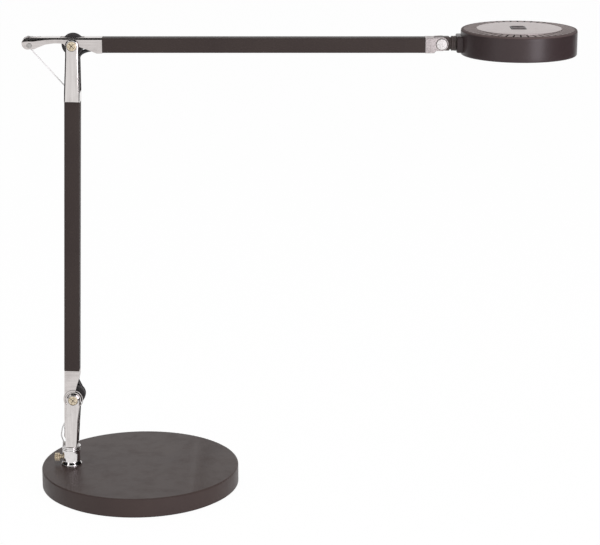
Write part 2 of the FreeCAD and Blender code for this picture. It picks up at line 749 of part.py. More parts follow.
def elbow_wire_end():
    """Sleeve pressed on the wire's end, past the pin it bears on."""
    nose, pin, direction, side = elbow_geometry()
    start = pin + side * wire_offset
    return rod(WIRE_END_RADIUS, start, start + direction * WIRE_END_LENGTH)


def elbow_wire_pin():
    """Pin between the cheeks of the elbow fork, in the lower arm's frame."""
    turn = math.radians(WIRE_ANCHOR_ANGLE)
    x = lower_length - UPPER_TAIL * math.cos(turn)
    z = LOWER_TUBE_OFFSET + UPPER_TAIL * math.sin(turn)
    return rod(WIRE_PIN_RADIUS, V(x, -cheek_inner, z), V(x, cheek_inner, z))


def wire_slot():
    """Slot in the lower lever's web where the shoulder wire comes out."""
    top = LOWER_TUBE_OFFSET + LOWER_TUBE_WIDTH / 2
    half = WIRE_RADIUS + 0.8
    return box(-34, -24, WIRE_SIDE - half, WIRE_SIDE + half, top - 2 * SHEET, top + 1)


def shoulder_wire():
    """Wire that leaves the lever's web, bows past the nose and ends in the anchor."""
    left = fork_left()
    foot = collar_top + ANCHOR_HEIGHT + WIRE_RADIUS
    points = [V(left - ANCHOR_LENGTH + 1.2, WIRE_SIDE, foot)]
    points.append(V(left - ANCHOR_LENGTH - 1.5, WIRE_SIDE, foot + 6))
    points.append(arm_point(-LOWER_TAIL + 1, 14.2, WIRE_SIDE))
    points.append(arm_point(-LOWER_TAIL + 6.5, 12.8, WIRE_SIDE))
    points.append(arm_point(-LOWER_TAIL + 13.5, 9.2, WIRE_SIDE))
    points.append(arm_point(-WIRE_BEND + 4, wire_offset + 0.8, WIRE_SIDE))
    points.append(arm_point(-WIRE_BEND + WIRE_BEND_END, wire_offset, WIRE_SIDE))
    return cord("shoulder_wire", WIRE_RADIUS, points)


# ---------------------------------------------------------------- elbow fork, in the lower arm's frame

def elbow_fork():
    """Fork on the lower tube: a square sleeve that opens into two cheeks."""
    tube_end = LOWER_TUBE_START + LOWER_TUBE_LENGTH
    z = LOWER_TUBE_OFFSET
    sleeve_end = tube_end + ELBOW_FORK_SLEEVE
    neck = lower_length - ELBOW_FORK_NECK
    half = LOWER_TUBE_WIDTH / 2
    eye = CHEEK_TOP_RADIUS
    outline = [(tube_end, z - half), (tube_end, z + half), (sleeve_end, z + half)]
    outline += [(neck, z + ELBOW_FORK_NECK_HALF), (lower_length, z + eye)]
    outline += [(lower_length, z - eye), (neck, z - ELBOW_FORK_NECK_HALF), (sleeve_end, z - half)]
    body = slab(outline, -cheek_outer, cheek_outer)
    body = body.fuse(rod(eye, V(lower_length, -cheek_outer, z), V(lower_length, cheek_outer, z)))
    body = body.removeSplitter()
    body = body.cut(box(tube_end + SHEET, lower_length + 20, -cheek_inner, cheek_inner, z - 20, z + 20))
    web = box(tube_end, sleeve_end + 1, -cheek_outer, cheek_outer, z - half, z - half + TUBE_WALL)
    body = body.fuse(web.common(slab(outline, -cheek_outer, cheek_outer)))
    body = body.fuse(box(tube_end, tube_end + 4, -cheek_outer, cheek_outer, z + half - SHEET, z + half))
    tongue_half = lever_half - TUBE_WALL - TONGUE_FIT
    tongue_height = half - TUBE_WALL - TONGUE_FIT
    tongue_start = tube_end - TONGUE_LENGTH
    tongue = box(tongue_start, tube_end + 1, -tongue_half, tongue_half, z - tongue_height, z + tongue_height)
    body = body.fuse(tongue).removeSplitter()
    hollow = tongue_half - SHEET / 2
    hollow_top = z + tongue_height - SHEET / 2
    way = box(tongue_start - 1, tube_end + SHEET + 1, -hollow, hollow, z - half + TUBE_WALL, hollow_top)
    body = body.cut(way)
    return body.cut(rod(BOLT_RADIUS + 0.05, V(lower_length, -20, z), V(lower_length, 20, z)))


# ---------------------------------------------------------------- arms

def lower_tube():
    end = LOWER_TUBE_START + LOWER_TUBE_LENGTH
    tube = arm_tube(LOWER_TUBE_START, end, LOWER_TUBE_OFFSET, LOWER_TUBE_WIDTH)
    return tube.cut(spring_pin())


def upper_tube():
    end = UPPER_TUBE_START + UPPER_TUBE_LENGTH
    tube = arm_tube(UPPER_TUBE_START, end, UPPER_TUBE_OFFSET, TUBE)
    return tube.cut(spring_pin())


def cable_height(offset):
    return offset - CABLE_TUBE_DROP


def lower_cable():
    """Cable in the lower tube, between the two loops."""
    z = cable_height(LOWER_TUBE_OFFSET)
    end = LOWER_TUBE_START + LOWER_TUBE_LENGTH
    return rod(CABLE_RADIUS, V(LOWER_TUBE_START, 0, z), V(end, 0, z))


def upper_cable():
    z = cable_height(UPPER_TUBE_OFFSET)
    end = UPPER_TUBE_START + UPPER_TUBE_LENGTH
    return rod(CABLE_RADIUS, V(UPPER_TUBE_START, 0, z), V(end - 30, 0, z))


def shoulder_cable():
    """Cable from the spigot round the right side of the guide disc into the lower tube."""
    z = cable_height(LOWER_TUBE_OFFSET)
    reach = GUIDE_GROOVE_RADIUS + CABLE_RADIUS + 0.6
    points = [V(post_x, 0, collar_bottom - 18)]
    points.append(V(post_x, 0, collar_bottom - 5))
    points.append(V(shoulder_x + SHOULDER_CABLE_SHIFT - 2.2, 0, bridge_top + 4.7))
    points.append(V(shoulder_x + SHOULDER_CABLE_SHIFT, 0, shoulder_height - LOWER_TAIL))
    points.append(V(shoulder_x + SHOULDER_CABLE_SHIFT + 0.8, 0, shoulder_height - 16))
    points.append(V(shoulder_x + reach - 0.4, 0, shoulder_height - 5.5))
    points.append(V(shoulder_x + reach, 0, shoulder_height + 4.5))
    points.append(V(shoulder_x + reach - 3.2, 0, shoulder_height + 13))
    points.append(arm_point(LOWER_TUBE_START - 10, z))
    points.append(arm_point(LOWER_TUBE_START, z))
    return cord("cable_shoulder", CABLE_RADIUS, points)


def elbow_cable():
    """Cable from the lower tube through the fork into the upper lever, in the object's frame."""
    elbow = elbow_place()
    z = cable_height(LOWER_TUBE_OFFSET)
    end = LOWER_TUBE_START + LOWER_TUBE_LENGTH
    level = cable_height(UPPER_TUBE_OFFSET)
    points = [arm_point(end, z)]
    points.append(arm_point(end + 14, z))
    points.append(elbow + V(ELBOW_CABLE_SHIFT, 0, -30))
    points.append(elbow + V(ELBOW_CABLE_SHIFT + 1, 0, -17))
    points.append(elbow + V(ELBOW_CABLE_SHIFT + 3.8, 0, -8.8))
    points.append(elbow + V(20.5, 0, level))
    points.append(elbow + V(UPPER_TUBE_START, 0, level))
    return cord("cable_elbow", CABLE_RADIUS, points)


# ---------------------------------------------------------------- end of the arm, tilt pivot at the origin

def ear_span():
    inner = EAR_GAP / 2
    return inner, inner + EAR_THICKNESS


def end_bracket():
    """Chrome block in the tube's end with two ears round the tilt bolt."""
    inner, outer = ear_span()
    tube_end = -TILT_REACH
    block_end = tube_end + BRACKET_LENGTH
    half = outer
    z = -TILT_RISE
    block = box(tube_end, block_end, -half, half, z - half, z + half)
    block = block.makeFillet(1.0, edges_along(block, AXIS_X))
    body = block
    for side in (-1, 1):
        y0 = min(side * inner, side * outer)
        y1 = max(side * inner, side * outer)
        arm = box(block_end - 1, 0, y0, y1, -EAR_RADIUS, EAR_RADIUS)
        body = body.fuse(arm).fuse(rod(EAR_RADIUS, V(0, y0, 0), V(0, y1, 0)))
    plug = lever_half - TUBE_WALL - TONGUE_FIT
    body = body.fuse(box(tube_end - TONGUE_LENGTH, tube_end + 1, -plug, plug, z - plug, z + plug))
    body = body.removeSplitter()
    body = body.cut(rod(knuckle_radius + KNUCKLE_CLEARANCE + 0.4, V(0, -inner, 0), V(0, inner, 0)))
    body = body.cut(lead_bore())
    return body.cut(rod(TILT_BOLT_RADIUS + 0.05, V(0, -20, 0), V(0, 20, 0)))


def lead_height():
    return TILT_BOLT_RADIUS + LEAD_CLEARANCE + HEAD_LEAD_RADIUS + 0.1


def lead_bore():
    """Way for the lead: over the tilt bolt, then down to the neck's centreline."""
    bore = HEAD_LEAD_RADIUS + LEAD_CLEARANCE
    z = lead_height()
    over_bolt = rod(bore, V(-60, 0, z), V(6, 0, z))
    step = box(2.4, KNUCKLE_DISC_START + 2, -bore, bore, -bore, z + bore)
    centre = rod(bore, V(3, 0, 0), V(HEAD_CENTRE - HEAD_RADIUS + 6, 0, 0))
    return over_bolt.fuse(step).fuse(centre)


def head_lead():
    """Thin lead from the arm's end through the tilt joint into the head."""
    z = lead_height()
    points = [V(-18, 0, z - 0.2)]
    points.append(V(-8.5, 0, z))
    points.append(V(3.2, 0, z))
    points.append(V(8.6, 0, 0.1))
    points.append(V(17, 0, 0))
    points.append(V(HEAD_CENTRE - HEAD_RADIUS + 8, 0, 0.3))
    return cord("head_lead", HEAD_LEAD_RADIUS, points)


def tilt_bolt():
    inner, outer = ear_span()
    front = -outer - TILT_BOLT_HEAD_HEIGHT
    head = rod(TILT_BOLT_HEAD_RADIUS, V(0, front, 0), V(0, -outer, 0))
    head = head.cut(rod(1.6, V(0, front, 0), V(0, front + 0.8, 0)))
    return head.fuse(rod(TILT_BOLT_RADIUS, V(0, -outer, 0), V(0, outer, 0)))


def tilt_nut():
    inner, outer = ear_span()
    nut = rod(TILT_BOLT_HEAD_RADIUS, V(0, outer, 0), V(0, outer + TILT_BOLT_HEAD_HEIGHT, 0))
    return nut


def head_knuckle():
    """Dark tongue between the ears, with a disc and a barrel that the head turns on."""
    inner, outer = ear_span()
    half = inner - 0.15
    disc_end = KNUCKLE_DISC_START + KNUCKLE_DISC_THICKNESS
    body = rod(knuckle_radius, V(0, -half, 0), V(0, half, 0))
    body = body.fuse(box(0, KNUCKLE_DISC_START, -half, half, -knuckle_radius, knuckle_radius))
    body = body.fuse(rod(KNUCKLE_DISC_RADIUS, V(KNUCKLE_DISC_START, 0, 0), V(disc_end, 0, 0)))
    barrel_end = disc_end + KNUCKLE_BARREL_LENGTH
    body = body.fuse(rod(KNUCKLE_BARREL_RADIUS, V(disc_end, 0, 0), V(barrel_end, 0, 0)))
    body = body.cut(lead_bore())
    return body.cut(rod(TILT_BOLT_RADIUS + 0.05, V(0, -20, 0), V(0, 20, 0)))


def neck_start():
    return KNUCKLE_DISC_START + KNUCKLE_DISC_THICKNESS + NECK_GAP


def head_neck():
    start = neck_start()
    end = start + NECK_LENGTH
    neck = rod(NECK_RADIUS, V(start, 0, 0), V(end, 0, 0))
    return neck.cut(rod(KNUCKLE_BARREL_RADIUS + 0.05, V(start, 0, 0), V(end, 0, 0)))


def head_collar():
    """Block between the neck and the round housing."""
    start = neck_start() + NECK_LENGTH
    half_y = COLLAR_BLOCK_WIDTH / 2
    half_z = COLLAR_BLOCK_HEIGHT / 2
    far = HEAD_CENTRE - HEAD_RADIUS + COLLAR_BLOCK_DEPTH
    block = box(start, far, -half_y, half_y, -half_z, half_z)
    block = block.makeFillet(2.0, edges_along(block, AXIS_X))
    block = block.cut(disc_at(HEAD_RADIUS, -COLLAR_BLOCK_HEIGHT, COLLAR_BLOCK_HEIGHT))
    barrel_end = KNUCKLE_DISC_START + KNUCKLE_DISC_THICKNESS + KNUCKLE_BARREL_LENGTH
    block = block.cut(rod(KNUCKLE_BARREL_RADIUS + 0.05, V(start, 0, 0), V(barrel_end + 0.3, 0, 0)))
    return block.cut(lead_bore())


# ---------------------------------------------------------------- head

def disc_at(radius, z0, z1):
    return Part.makeCylinder(radius, z1 - z0, V(HEAD_CENTRE, 0, z0))


def plate_radius():
    return HEAD_RADIUS - RIM_WIDTH


def head_housing():
    """Round wall with an inward lip below, open above for the ribbed rim."""
    top = head_top_local - RIM_SEAT
    wall = disc_at(HEAD_RADIUS, head_bottom_local, top)
    wall = wall.makeFillet(HEAD_EDGE_ROUND, circles_at(wall, HEAD_RADIUS, head_bottom_local))
    wall = wall.cut(disc_at(HEAD_RADIUS - HEAD_WALL, head_bottom_local + HEAD_FLOOR, top))
    wall = wall.cut(disc_at(DIFFUSER_RADIUS - 1.5, head_bottom_local, head_bottom_local + HEAD_FLOOR))
    return wall.cut(rod(HEAD_LEAD_RADIUS + LEAD_CLEARANCE, V(0, 0, 0), V(HEAD_CENTRE, 0, 0)))


def vent_rim():
    """Dark ring with radial slots round the top plate; it also cools the LEDs."""
    top = head_top_local
    ledge = top - RIM_SEAT
    outer = HEAD_RADIUS - 0.3
    rim = disc_at(outer, ledge, top)
    rim = rim.makeFillet(HEAD_EDGE_ROUND, circles_at(rim, outer, top))
    rim = rim.fuse(disc_at(HEAD_RADIUS - HEAD_WALL - 0.1, top - RIM_DEPTH, ledge))
    rim = rim.removeSplitter()
    rim = rim.cut(disc_at(plate_radius(), top - RIM_DEPTH, top))
    near = plate_radius() + RIM_SLOT_INSET
    half = RIM_SLOT_WIDTH / 2
    slot = box(near, near + RIM_SLOT_LENGTH, -half, half, top - RIM_SLOT_DEPTH, top + 1)
    slots = []
    for index in range(RIM_RIBS):
        copy = slot.copy()
        copy.rotate(V(0, 0, 0), AXIS_Z, 360 * index / RIM_RIBS)
        copy.translate(V(HEAD_CENTRE, 0, 0))
        slots.append(copy)
    return rim.cut(slots)


def panel_box(x_half, y_half, z0, z1):
    x = HEAD_CENTRE + KEY_PANEL_SHIFT_X
    y = KEY_PANEL_SHIFT_Y
    return box(x - x_half, x + x_half, y - y_half, y + y_half, z0, z1)


def top_plate():
    """Silver plate that seats in the rim, with a window for the key panel."""
    top = head_top_local + PLATE_PROUD
    radius = plate_radius() - PLATE_GAP
    plate = disc_at(radius, top - PLATE_THICKNESS, top)
    plate = plate.makeFillet(0.5, circles_at(plate, radius, top))
    step = disc_at(radius, head_top_local - RIM_DEPTH, top - PLATE_THICKNESS)
    step = step.cut(disc_at(radius - 3, head_top_local - RIM_DEPTH, top - PLATE_THICKNESS))
    plate = plate.fuse(step).removeSplitter()
    window_x = KEY_PANEL_X / 2 + 0.1
    window_y = KEY_PANEL_Y / 2 + 0.1
    return plate.cut(panel_box(window_x, window_y, top - PLATE_THICKNESS - 1, top + 1))


def key_places():
    y = KEY_PANEL_SHIFT_Y
    step = KEY_LENGTH / 2 + KEY_BAR / 2 + KEY_GAP
    return {"key_power": y - step, "key_dimmer": y + step}


def key_panel():
    """Dark frame and floor round the two keys."""
    top = head_top_local + PLATE_PROUD + KEY_PANEL_PROUD
    floor = head_top_local + PLATE_PROUD - PLATE_THICKNESS - 1.2
    panel = panel_box(KEY_PANEL_X / 2, KEY_PANEL_Y / 2, floor, top)
    panel = panel.makeFillet(1.0, edges_along(panel, AXIS_Z))
    x = HEAD_CENTRE + KEY_PANEL_SHIFT_X
    half_x = KEY_WIDTH / 2 + KEY_GAP
    half_y = KEY_LENGTH / 2 + KEY_GAP
    for y in key_places().values():
        panel = panel.cut(box(x - half_x, x + half_x, y - half_y, y + half_y, floor + 1.2, top))
    return panel


def key(y):
    top = head_top_local + PLATE_PROUD + KEY_PANEL_PROUD + KEY_PROUD
    x = HEAD_CENTRE + KEY_PANEL_SHIFT_X
    half_x = KEY_WIDTH / 2
    half_y = KEY_LENGTH / 2
    cap = box(x - half_x, x + half_x, y - half_y, y + half_y, top - KEY_HEIGHT, top)
    cap = cap.makeFillet(0.8, edges_along(cap, AXIS_Z))
    stem_top = top - KEY_HEIGHT
    panel_floor = head_top_local + PLATE_PROUD - PLATE_THICKNESS
    gap = stem_top - panel_floor
    if gap < KEY_TRAVEL:
        print("key travel is short by", round(KEY_TRAVEL - gap, 2))
    return cap


def led_board():
    z = head_bottom_local + LED_BOARD_HEIGHT
    board = disc_at(LED_BOARD_RADIUS, z, z + LED_BOARD_THICKNESS)
    carrier = disc_at(plate_radius() - 4, z + LED_BOARD_THICKNESS, head_top_local - RIM_DEPTH)
    return board.fuse(carrier).removeSplitter()


def leds():
    z = head_bottom_local + LED_BOARD_HEIGHT
    half = LED_SIZE / 2
    chips = []
    for index in range(LED_COUNT):
        chip = box(LED_CIRCLE - half, LED_CIRCLE + half, -half, half, z - LED_HEIGHT, z)
        chip.rotate(V(0, 0, 0), AXIS_Z, 360 * index / LED_COUNT)
        chip.translate(V(HEAD_CENTRE, 0, 0))
        chips.append(chip)
    return Part.makeCompound(chips)


def diffuser():
    z = head_bottom_local + HEAD_FLOOR
    plate = disc_at(DIFFUSER_RADIUS, z, z + DIFFUSER_THICKNESS)
    return plate.fuse(disc_at(DIFFUSER_RADIUS - 1.8, z - 1.4, z)).removeSplitter()


# ---------------------------------------------------------------- all pieces

def pieces():
    nodes = {}
    nodes["base_cover"] = base_cover()
    nodes["base_weight"] = base_weight()
    nodes["base_pad"] = base_pad()
    nodes["base_screws"] = base_screws()
    nodes["cable_grommet"] = cable_grommet()
    nodes["base_lead"] = base_lead()
    nodes["foot_socket"] = foot_socket()
    nodes["socket_nut"] = socket_nut()
    nodes["thumb_screw"] = thumb_screw()
    nodes["post_spigot"] = post_spigot()
    nodes["post_collar"] = post_collar()
    nodes["post_fork"] = post_fork()
    nodes["shoulder_anchor"] = shoulder_anchor()

    shoulder = V(shoulder_x, 0, shoulder_height)
    elbow = V(lower_length, 0, LOWER_TUBE_OFFSET)
    pivot_parts = {"bolt": pivot_bolt(), "nut": pivot_nut(), "washers": pivot_washers(), "guide": guide_disc()}
    for name, shape in pivot_parts.items():
        nodes["shoulder_" + name] = shape.translated(shoulder)
        nodes["elbow_" + name] = on_lower(shape.translated(elbow))

    lower_lever = lever(LOWER_TAIL, LOWER_TUBE_OFFSET, LOWER_TUBE_START, LOWER_TUBE_WIDTH, LOWER_TUBE_WIDTH)
    nodes["lower_lever"] = on_lower(lower_lever.cut(wire_slot()))
    nodes["lower_nose_bush"] = on_lower(nose_bush(LOWER_TAIL))
    nodes["lower_tube"] = on_lower(lower_tube())
    nodes["lower_spring"] = on_lower(tension_spring())
    nodes["lower_spring_pin"] = on_lower(spring_pin())
    nodes["lower_spring_hook"] = on_lower(spring_hook())
    nodes["lower_inner_wire"] = on_lower(straight_wire())
    nodes["shoulder_wire"] = shoulder_wire()
    nodes["elbow_fork"] = on_lower(elbow_fork())
    nodes["elbow_wire_pin"] = on_lower(elbow_wire_pin())
    nodes["cable_lower"] = on_lower(lower_cable())
    nodes["cable_shoulder"] = shoulder_cable()
    nodes["cable_elbow"] = elbow_cable()

    upper_lever = lever(UPPER_TAIL, UPPER_TUBE_OFFSET, UPPER_TUBE_START, UPPER_LEVER_HEIGHT, TUBE)
    nodes["upper_lever"] = on_upper(upper_lever)
    nodes["upper_nose_bush"] = on_upper(nose_bush(UPPER_TAIL))
    nodes["upper_tube"] = on_upper(upper_tube())
    nodes["upper_spring"] = on_upper(tension_spring())
    nodes["upper_spring_pin"] = on_upper(spring_pin())
    nodes["upper_spring_hook"] = on_upper(spring_hook())
    nose, pin, direction, side = elbow_geometry()
    wrap = math.degrees(math.atan2(-side.x, side.z))
    nodes["upper_inner_wire"] = on_upper(inner_wire(UPPER_TAIL, wrap))
    nodes["elbow_wire"] = on_upper(elbow_wire())
    nodes["elbow_wire_end"] = on_upper(elbow_wire_end())
    nodes["cable_upper"] = on_upper(upper_cable())
    nodes["end_bracket"] = on_head(end_bracket())
    nodes["tilt_bolt"] = on_head(tilt_bolt())
    nodes["tilt_nut"] = on_head(tilt_nut())

    nodes["head_knuckle"] = on_head(head_knuckle())
    nodes["head_lead"] = on_head(head_lead())
    nodes["head_neck"] = on_head(head_neck())
    nodes["head_collar"] = on_head(head_collar())
    nodes["head_housing"] = on_head(head_housing())
    nodes["vent_rim"] = on_head(vent_rim())
    nodes["top_plate"] = on_head(top_plate())
    nodes["key_panel"] = on_head(key_panel())
    for name, y in key_places().items():
        nodes[name] = on_head(key(y))
    nodes["led_board"] = on_head(led_board())
    nodes["leds"] = on_head(leds())
    nodes["diffuser"] = on_head(diffuser())
    return nodes


os.makedirs("parts", exist_ok=True)
for name, shape in pieces().items():
    shape.exportStep("parts/" + name + ".step")
    print(name, "solids", len(shape.Solids), "valid", shape.isValid(), "volume", round(shape.Volume, 1))
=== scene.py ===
"""Desk lamp with two sprung arms, a round weighted base and a flat round LED head.

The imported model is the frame. Every visible piece gets its finish here, and the pressed,
turned and moulded pieces are made again with their bends, grooves and soft edges.
Shapes are written in millimetres in the frame of the part they belong to.
"""

import json
import math

import bmesh
import bpy
from mathutils import Matrix, Vector


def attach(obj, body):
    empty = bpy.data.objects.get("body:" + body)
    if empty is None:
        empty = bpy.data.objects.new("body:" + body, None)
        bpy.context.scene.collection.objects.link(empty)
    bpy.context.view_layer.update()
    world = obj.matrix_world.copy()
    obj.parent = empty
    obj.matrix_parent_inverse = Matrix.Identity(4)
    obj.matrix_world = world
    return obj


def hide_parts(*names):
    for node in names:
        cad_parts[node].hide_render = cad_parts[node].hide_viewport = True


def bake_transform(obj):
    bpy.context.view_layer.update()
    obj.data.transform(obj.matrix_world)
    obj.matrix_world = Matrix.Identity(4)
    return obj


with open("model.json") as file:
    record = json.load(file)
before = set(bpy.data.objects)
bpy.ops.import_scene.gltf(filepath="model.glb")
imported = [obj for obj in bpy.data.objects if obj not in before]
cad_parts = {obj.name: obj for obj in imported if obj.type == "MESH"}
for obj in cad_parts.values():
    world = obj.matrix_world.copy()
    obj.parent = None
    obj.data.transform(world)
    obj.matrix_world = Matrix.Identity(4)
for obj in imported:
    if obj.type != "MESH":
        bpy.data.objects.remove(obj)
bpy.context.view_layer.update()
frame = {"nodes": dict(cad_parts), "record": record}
nodes = frame["nodes"]

MM = 0.001

# ---------------------------------------------------------------- sizes shared with the part

POST_X = -77.5
SOCKET_TOP = 40.7
COLLAR_BOTTOM = 40.8
COLLAR_TOP = 44.8
BRIDGE_TOP = 46.8
THUMB_Z = 30.8
SHOULDER = (-72.8, 101.6)
LEAN = math.radians(1.7)
LOWER_LENGTH = 397.4
UPPER_LENGTH = 394.5
LOWER_OFFSET = 2.0
TUBE = 16.0
LOWER_WIDTH = 16.9
TUBE_WALL = 1.2
LOWER_TUBE = (32.9, 336.1)
UPPER_TUBE = (32.0, 377.0)
LEVER_HEIGHT = 16.9
LOWER_TAIL = 42.0
UPPER_TAIL = 45.6
NOSE_DROP = 3.9
NOSE_SWELL = 0.3
NOSE_SHIFT = 1.7
FORK_LEFT = -10.5
FORK_WIDTH = 13.4
ANCHOR_LENGTH = 4.4
ANCHOR_HEIGHT = 2.6
SHEET = 1.6
CHEEK_INNER = 8.8
CHEEK_OUTER = 10.8
EYE = 7.4
WIRE_SIDE = 4.3
WIRE_OFFSET = 3.6
WIRE_RADIUS = 0.7
ANCHOR_ANGLE = math.radians(5.5)
HOOK_START = 84.0
HOOK_LENGTH = 9.0
SPRING_LENGTH = 150.0
CABLE_RADIUS = 2.1
HEAD_LEAD_RADIUS = 1.3
TILT_RISE = 1.5
EAR = 7.3
EAR_FACE = 8.2
NECK_START = 10.2
NECK_LENGTH = 5.8
HEAD_CENTRE = 82.9
HEAD_RADIUS = 62.2
HEAD_LIFT = 2.05
HEAD_HALF = 13.5
HEAD_BOTTOM = HEAD_LIFT - HEAD_HALF
HEAD_TOP = HEAD_LIFT + HEAD_HALF
PLATE_RADIUS = 45.6
PLATE_TOP = HEAD_TOP + 0.9
KEY_X = -1.1

# ---------------------------------------------------------------- sizes of the visible detail

LEVER_SIDE = 8.0
CHEEK_ROLL_DEPTH = 1.95
CHEEK_ROLL_WIDTH = 2.8
CHEEK_ROLL_STEPS = 12
WEB_HALF = 3.8
DISC_SLOT = (-13.0, 13.0, -WEB_HALF, WEB_HALF)
SHOULDER_SLOT = (-13.0, 19.0, -WEB_HALF, WEB_HALF)
WIRE_WINDOW = (-34.0, -24.0, 2.8, 5.7)
LEVER_STATION = 1.2
BOSS_RINGS = ((6.9, 8.7), (9.9, 10.9))
RIM_RIBS = 46
RIM_STEPS_PER_RIB = 8
RIM_SLOT_START = PLATE_RADIUS + 0.8
RIM_SLOT_END = PLATE_RADIUS + 13.4
RIM_SLOT_DEPTH = 4.5

# ---------------------------------------------------------------- frames of the parts

WORLD = Matrix.Scale(MM, 4)


def frame_at(x, z):
    """Upright frame, in millimetres, at a place on the lamp's middle plane."""
    return Matrix.Translation((x * MM, 0, z * MM)) @ WORLD


LOWER = Matrix(
    (
        (math.sin(LEAN), 0, -math.cos(LEAN), SHOULDER[0] * MM),
        (0, 1, 0, 0),
        (math.cos(LEAN), 0, math.sin(LEAN), SHOULDER[1] * MM),
        (0, 0, 0, 1),
    )
) @ WORLD
POST = frame_at(POST_X, 0)
SHOULDER_PIVOT = frame_at(*SHOULDER)
elbow_place = LOWER @ Vector((LOWER_LENGTH, 0, LOWER_OFFSET))
UPPER = Matrix.Translation(elbow_place) @ WORLD
LOWER_ELBOW = LOWER @ Matrix.Translation((LOWER_LENGTH, 0, LOWER_OFFSET))
HEAD = UPPER @ Matrix.Translation((UPPER_LENGTH, 0, TILT_RISE))
HEAD_AXIS = HEAD @ Matrix.Translation((HEAD_CENTRE, 0, 0))

# ---------------------------------------------------------------- shader nodes


def set_constants(node, constants):
    """Constants of a node's sockets, named with underscores for spaces."""
    for label, value in constants.items():
        node.inputs[label.replace("_", " ")].default_value = value


def add_node(tree, kind, **constants):
    """Shader node of a kind, with the constants of its named sockets."""
    node = tree.nodes.new("ShaderNode" + kind)
    set_constants(node, constants)
    return node


def noise(tree, vector, scale, detail=3.0, rough=0.5):
    """Noise texture; vector and scale are output sockets or, for scale, a number."""
    node = add_node(tree, "TexNoise", Detail=detail, Roughness=rough)
    tree.links.new(vector, node.inputs["Vector"])
    if isinstance(scale, float):
        node.inputs["Scale"].default_value = scale
    else:
        tree.links.new(scale, node.inputs["Scale"])
    return node.outputs["Fac"]


def ramp(tree, value, low, high, to_low=0.0, to_high=1.0):
    """A value taken from one range to another, and held at both ends."""
    node = add_node(tree, "MapRange", From_Min=low, From_Max=high, To_Min=to_low, To_Max=to_high)
    tree.links.new(value, node.inputs["Value"])
    return node.outputs["Result"]


def math_node(tree, operation, first, second):
    """Sum, product or larger of two values, each a number or an output socket."""
    node = tree.nodes.new("ShaderNodeMath")
    node.operation = operation
    for index, value in enumerate((first, second)):
        if isinstance(value, float):
            node.inputs[index].default_value = value
        else:
            tree.links.new(value, node.inputs[index])
    return node.outputs[0]


def mixed_shader(tree, factor, first, second):
    """Two shaders mixed by a factor and taken to the material's surface."""
    mix = tree.nodes.new("ShaderNodeMixShader")
    for index, value in enumerate((factor, first.outputs[0], second.outputs[0])):
        tree.links.new(value, mix.inputs[index])
    tree.links.new(mix.outputs["Shader"], add_node(tree, "OutputMaterial").inputs["Surface"])


def empty_material(name):
    """Material without any nodes."""
    material = bpy.data.materials.new(name)
    material.use_nodes = True
    material.node_tree.nodes.clear()
    return material


# ---------------------------------------------------------------- camera, light and floor

WHITE = (1.0, 1.0, 1.0, 1.0)

scene = bpy.context.scene
scene.view_settings.view_transform = "Standard"

camera_data = bpy.data.cameras.new("camera")
camera_data.sensor_width = 36.0
camera_data.lens = 123.58
camera_data.clip_end = 40.0
camera = bpy.data.objects.new("camera", camera_data)
camera.location = (0.180269, -2.192184, 0.837304)
camera.rotation_euler = (math.radians(74.91), 0, 0)
scene.collection.objects.link(camera)
scene.camera = camera


def lamp(name, place, target, width, height, power, tint=(1.0, 1.0, 1.0)):
    """Softbox of a width and height in metres, turned towards its target."""
    data = bpy.data.lights.new(name, "AREA")
    data.shape = "RECTANGLE"
    data.size = width
    data.size_y = height
    data.energy = power
    data.color = tint
    light = bpy.data.objects.new(name, data)
    light.location = place
    aim = Vector(target) - Vector(place)
    light.rotation_euler = aim.to_track_quat("-Z", "Y").to_euler()
    scene.collection.objects.link(light)


lamp("softbox_top", (0.1, -0.3, 2.6), (0.15, 0.0, 0.1), 2.2, 2.0, 26)
lamp("softbox_right", (1.7, -1.98, 0.7), (0.41, 0.0, 0.45), 1.3, 1.5, 36, (1.0, 0.93, 1.0))
lamp("softbox_left", (-2.0, -1.6, 1.0), (0.0, 0.0, 0.2), 1.0, 1.6, 6)


def studio_world():
    """White where it is seen, mirrored or seen through, and darker as a light on the pieces."""
    light_on_pieces = 0.62
    world = bpy.data.worlds.new("studio")
    scene.world = world
    world.use_nodes = True
    tree = world.node_tree
    tree.nodes.clear()
    rays = add_node(tree, "LightPath").outputs
    seen = math_node(tree, "MAXIMUM", rays["Is Camera Ray"], rays["Is Glossy Ray"])
    seen = math_node(tree, "MAXIMUM", seen, rays["Is Transmission Ray"])
    background = add_node(tree, "Background", Color=WHITE)
    tree.links.new(ramp(tree, seen, 0.0, 1.0, light_on_pieces, 1.0), background.inputs["Strength"])
    tree.links.new(background.outputs["Background"], add_node(tree, "OutputWorld").inputs["Surface"])


def stage_plane(name, place, width, height, turn, material):
    """Flat sheet of the studio, which isn't part of the lamp."""
    bm = bmesh.new()
    bmesh.ops.create_grid(bm, x_segments=1, y_segments=1, size=0.5)
    mesh = bpy.data.meshes.new(name)
    bm.to_mesh(mesh)
    bm.free()
    plane = bpy.data.objects.new(name, mesh)
    plane.location = place
    plane.rotation_euler = turn
    plane.scale = (width, height, 1)
    plane.data.materials.append(material)
    scene.collection.objects.link(plane)
    return plane


def floor_material():
    """White floor that keeps a soft shadow and runs into the white background."""
    white_share = 0.97
    material = empty_material("studio_floor")
    tree = material.node_tree
    rays = add_node(tree, "LightPath").outputs
    seen = math_node(tree, "MAXIMUM", rays["Is Camera Ray"], rays["Is Glossy Ray"])
    diffuse = add_node(tree, "BsdfDiffuse", Color=(0.9, 0.9, 0.9, 1.0))
    glow = add_node(tree, "Emission", Color=WHITE, Strength=1.0)
    mixed_shader(tree, math_node(tree, "MULTIPLY", seen, white_share), diffuse, glow)
    return material


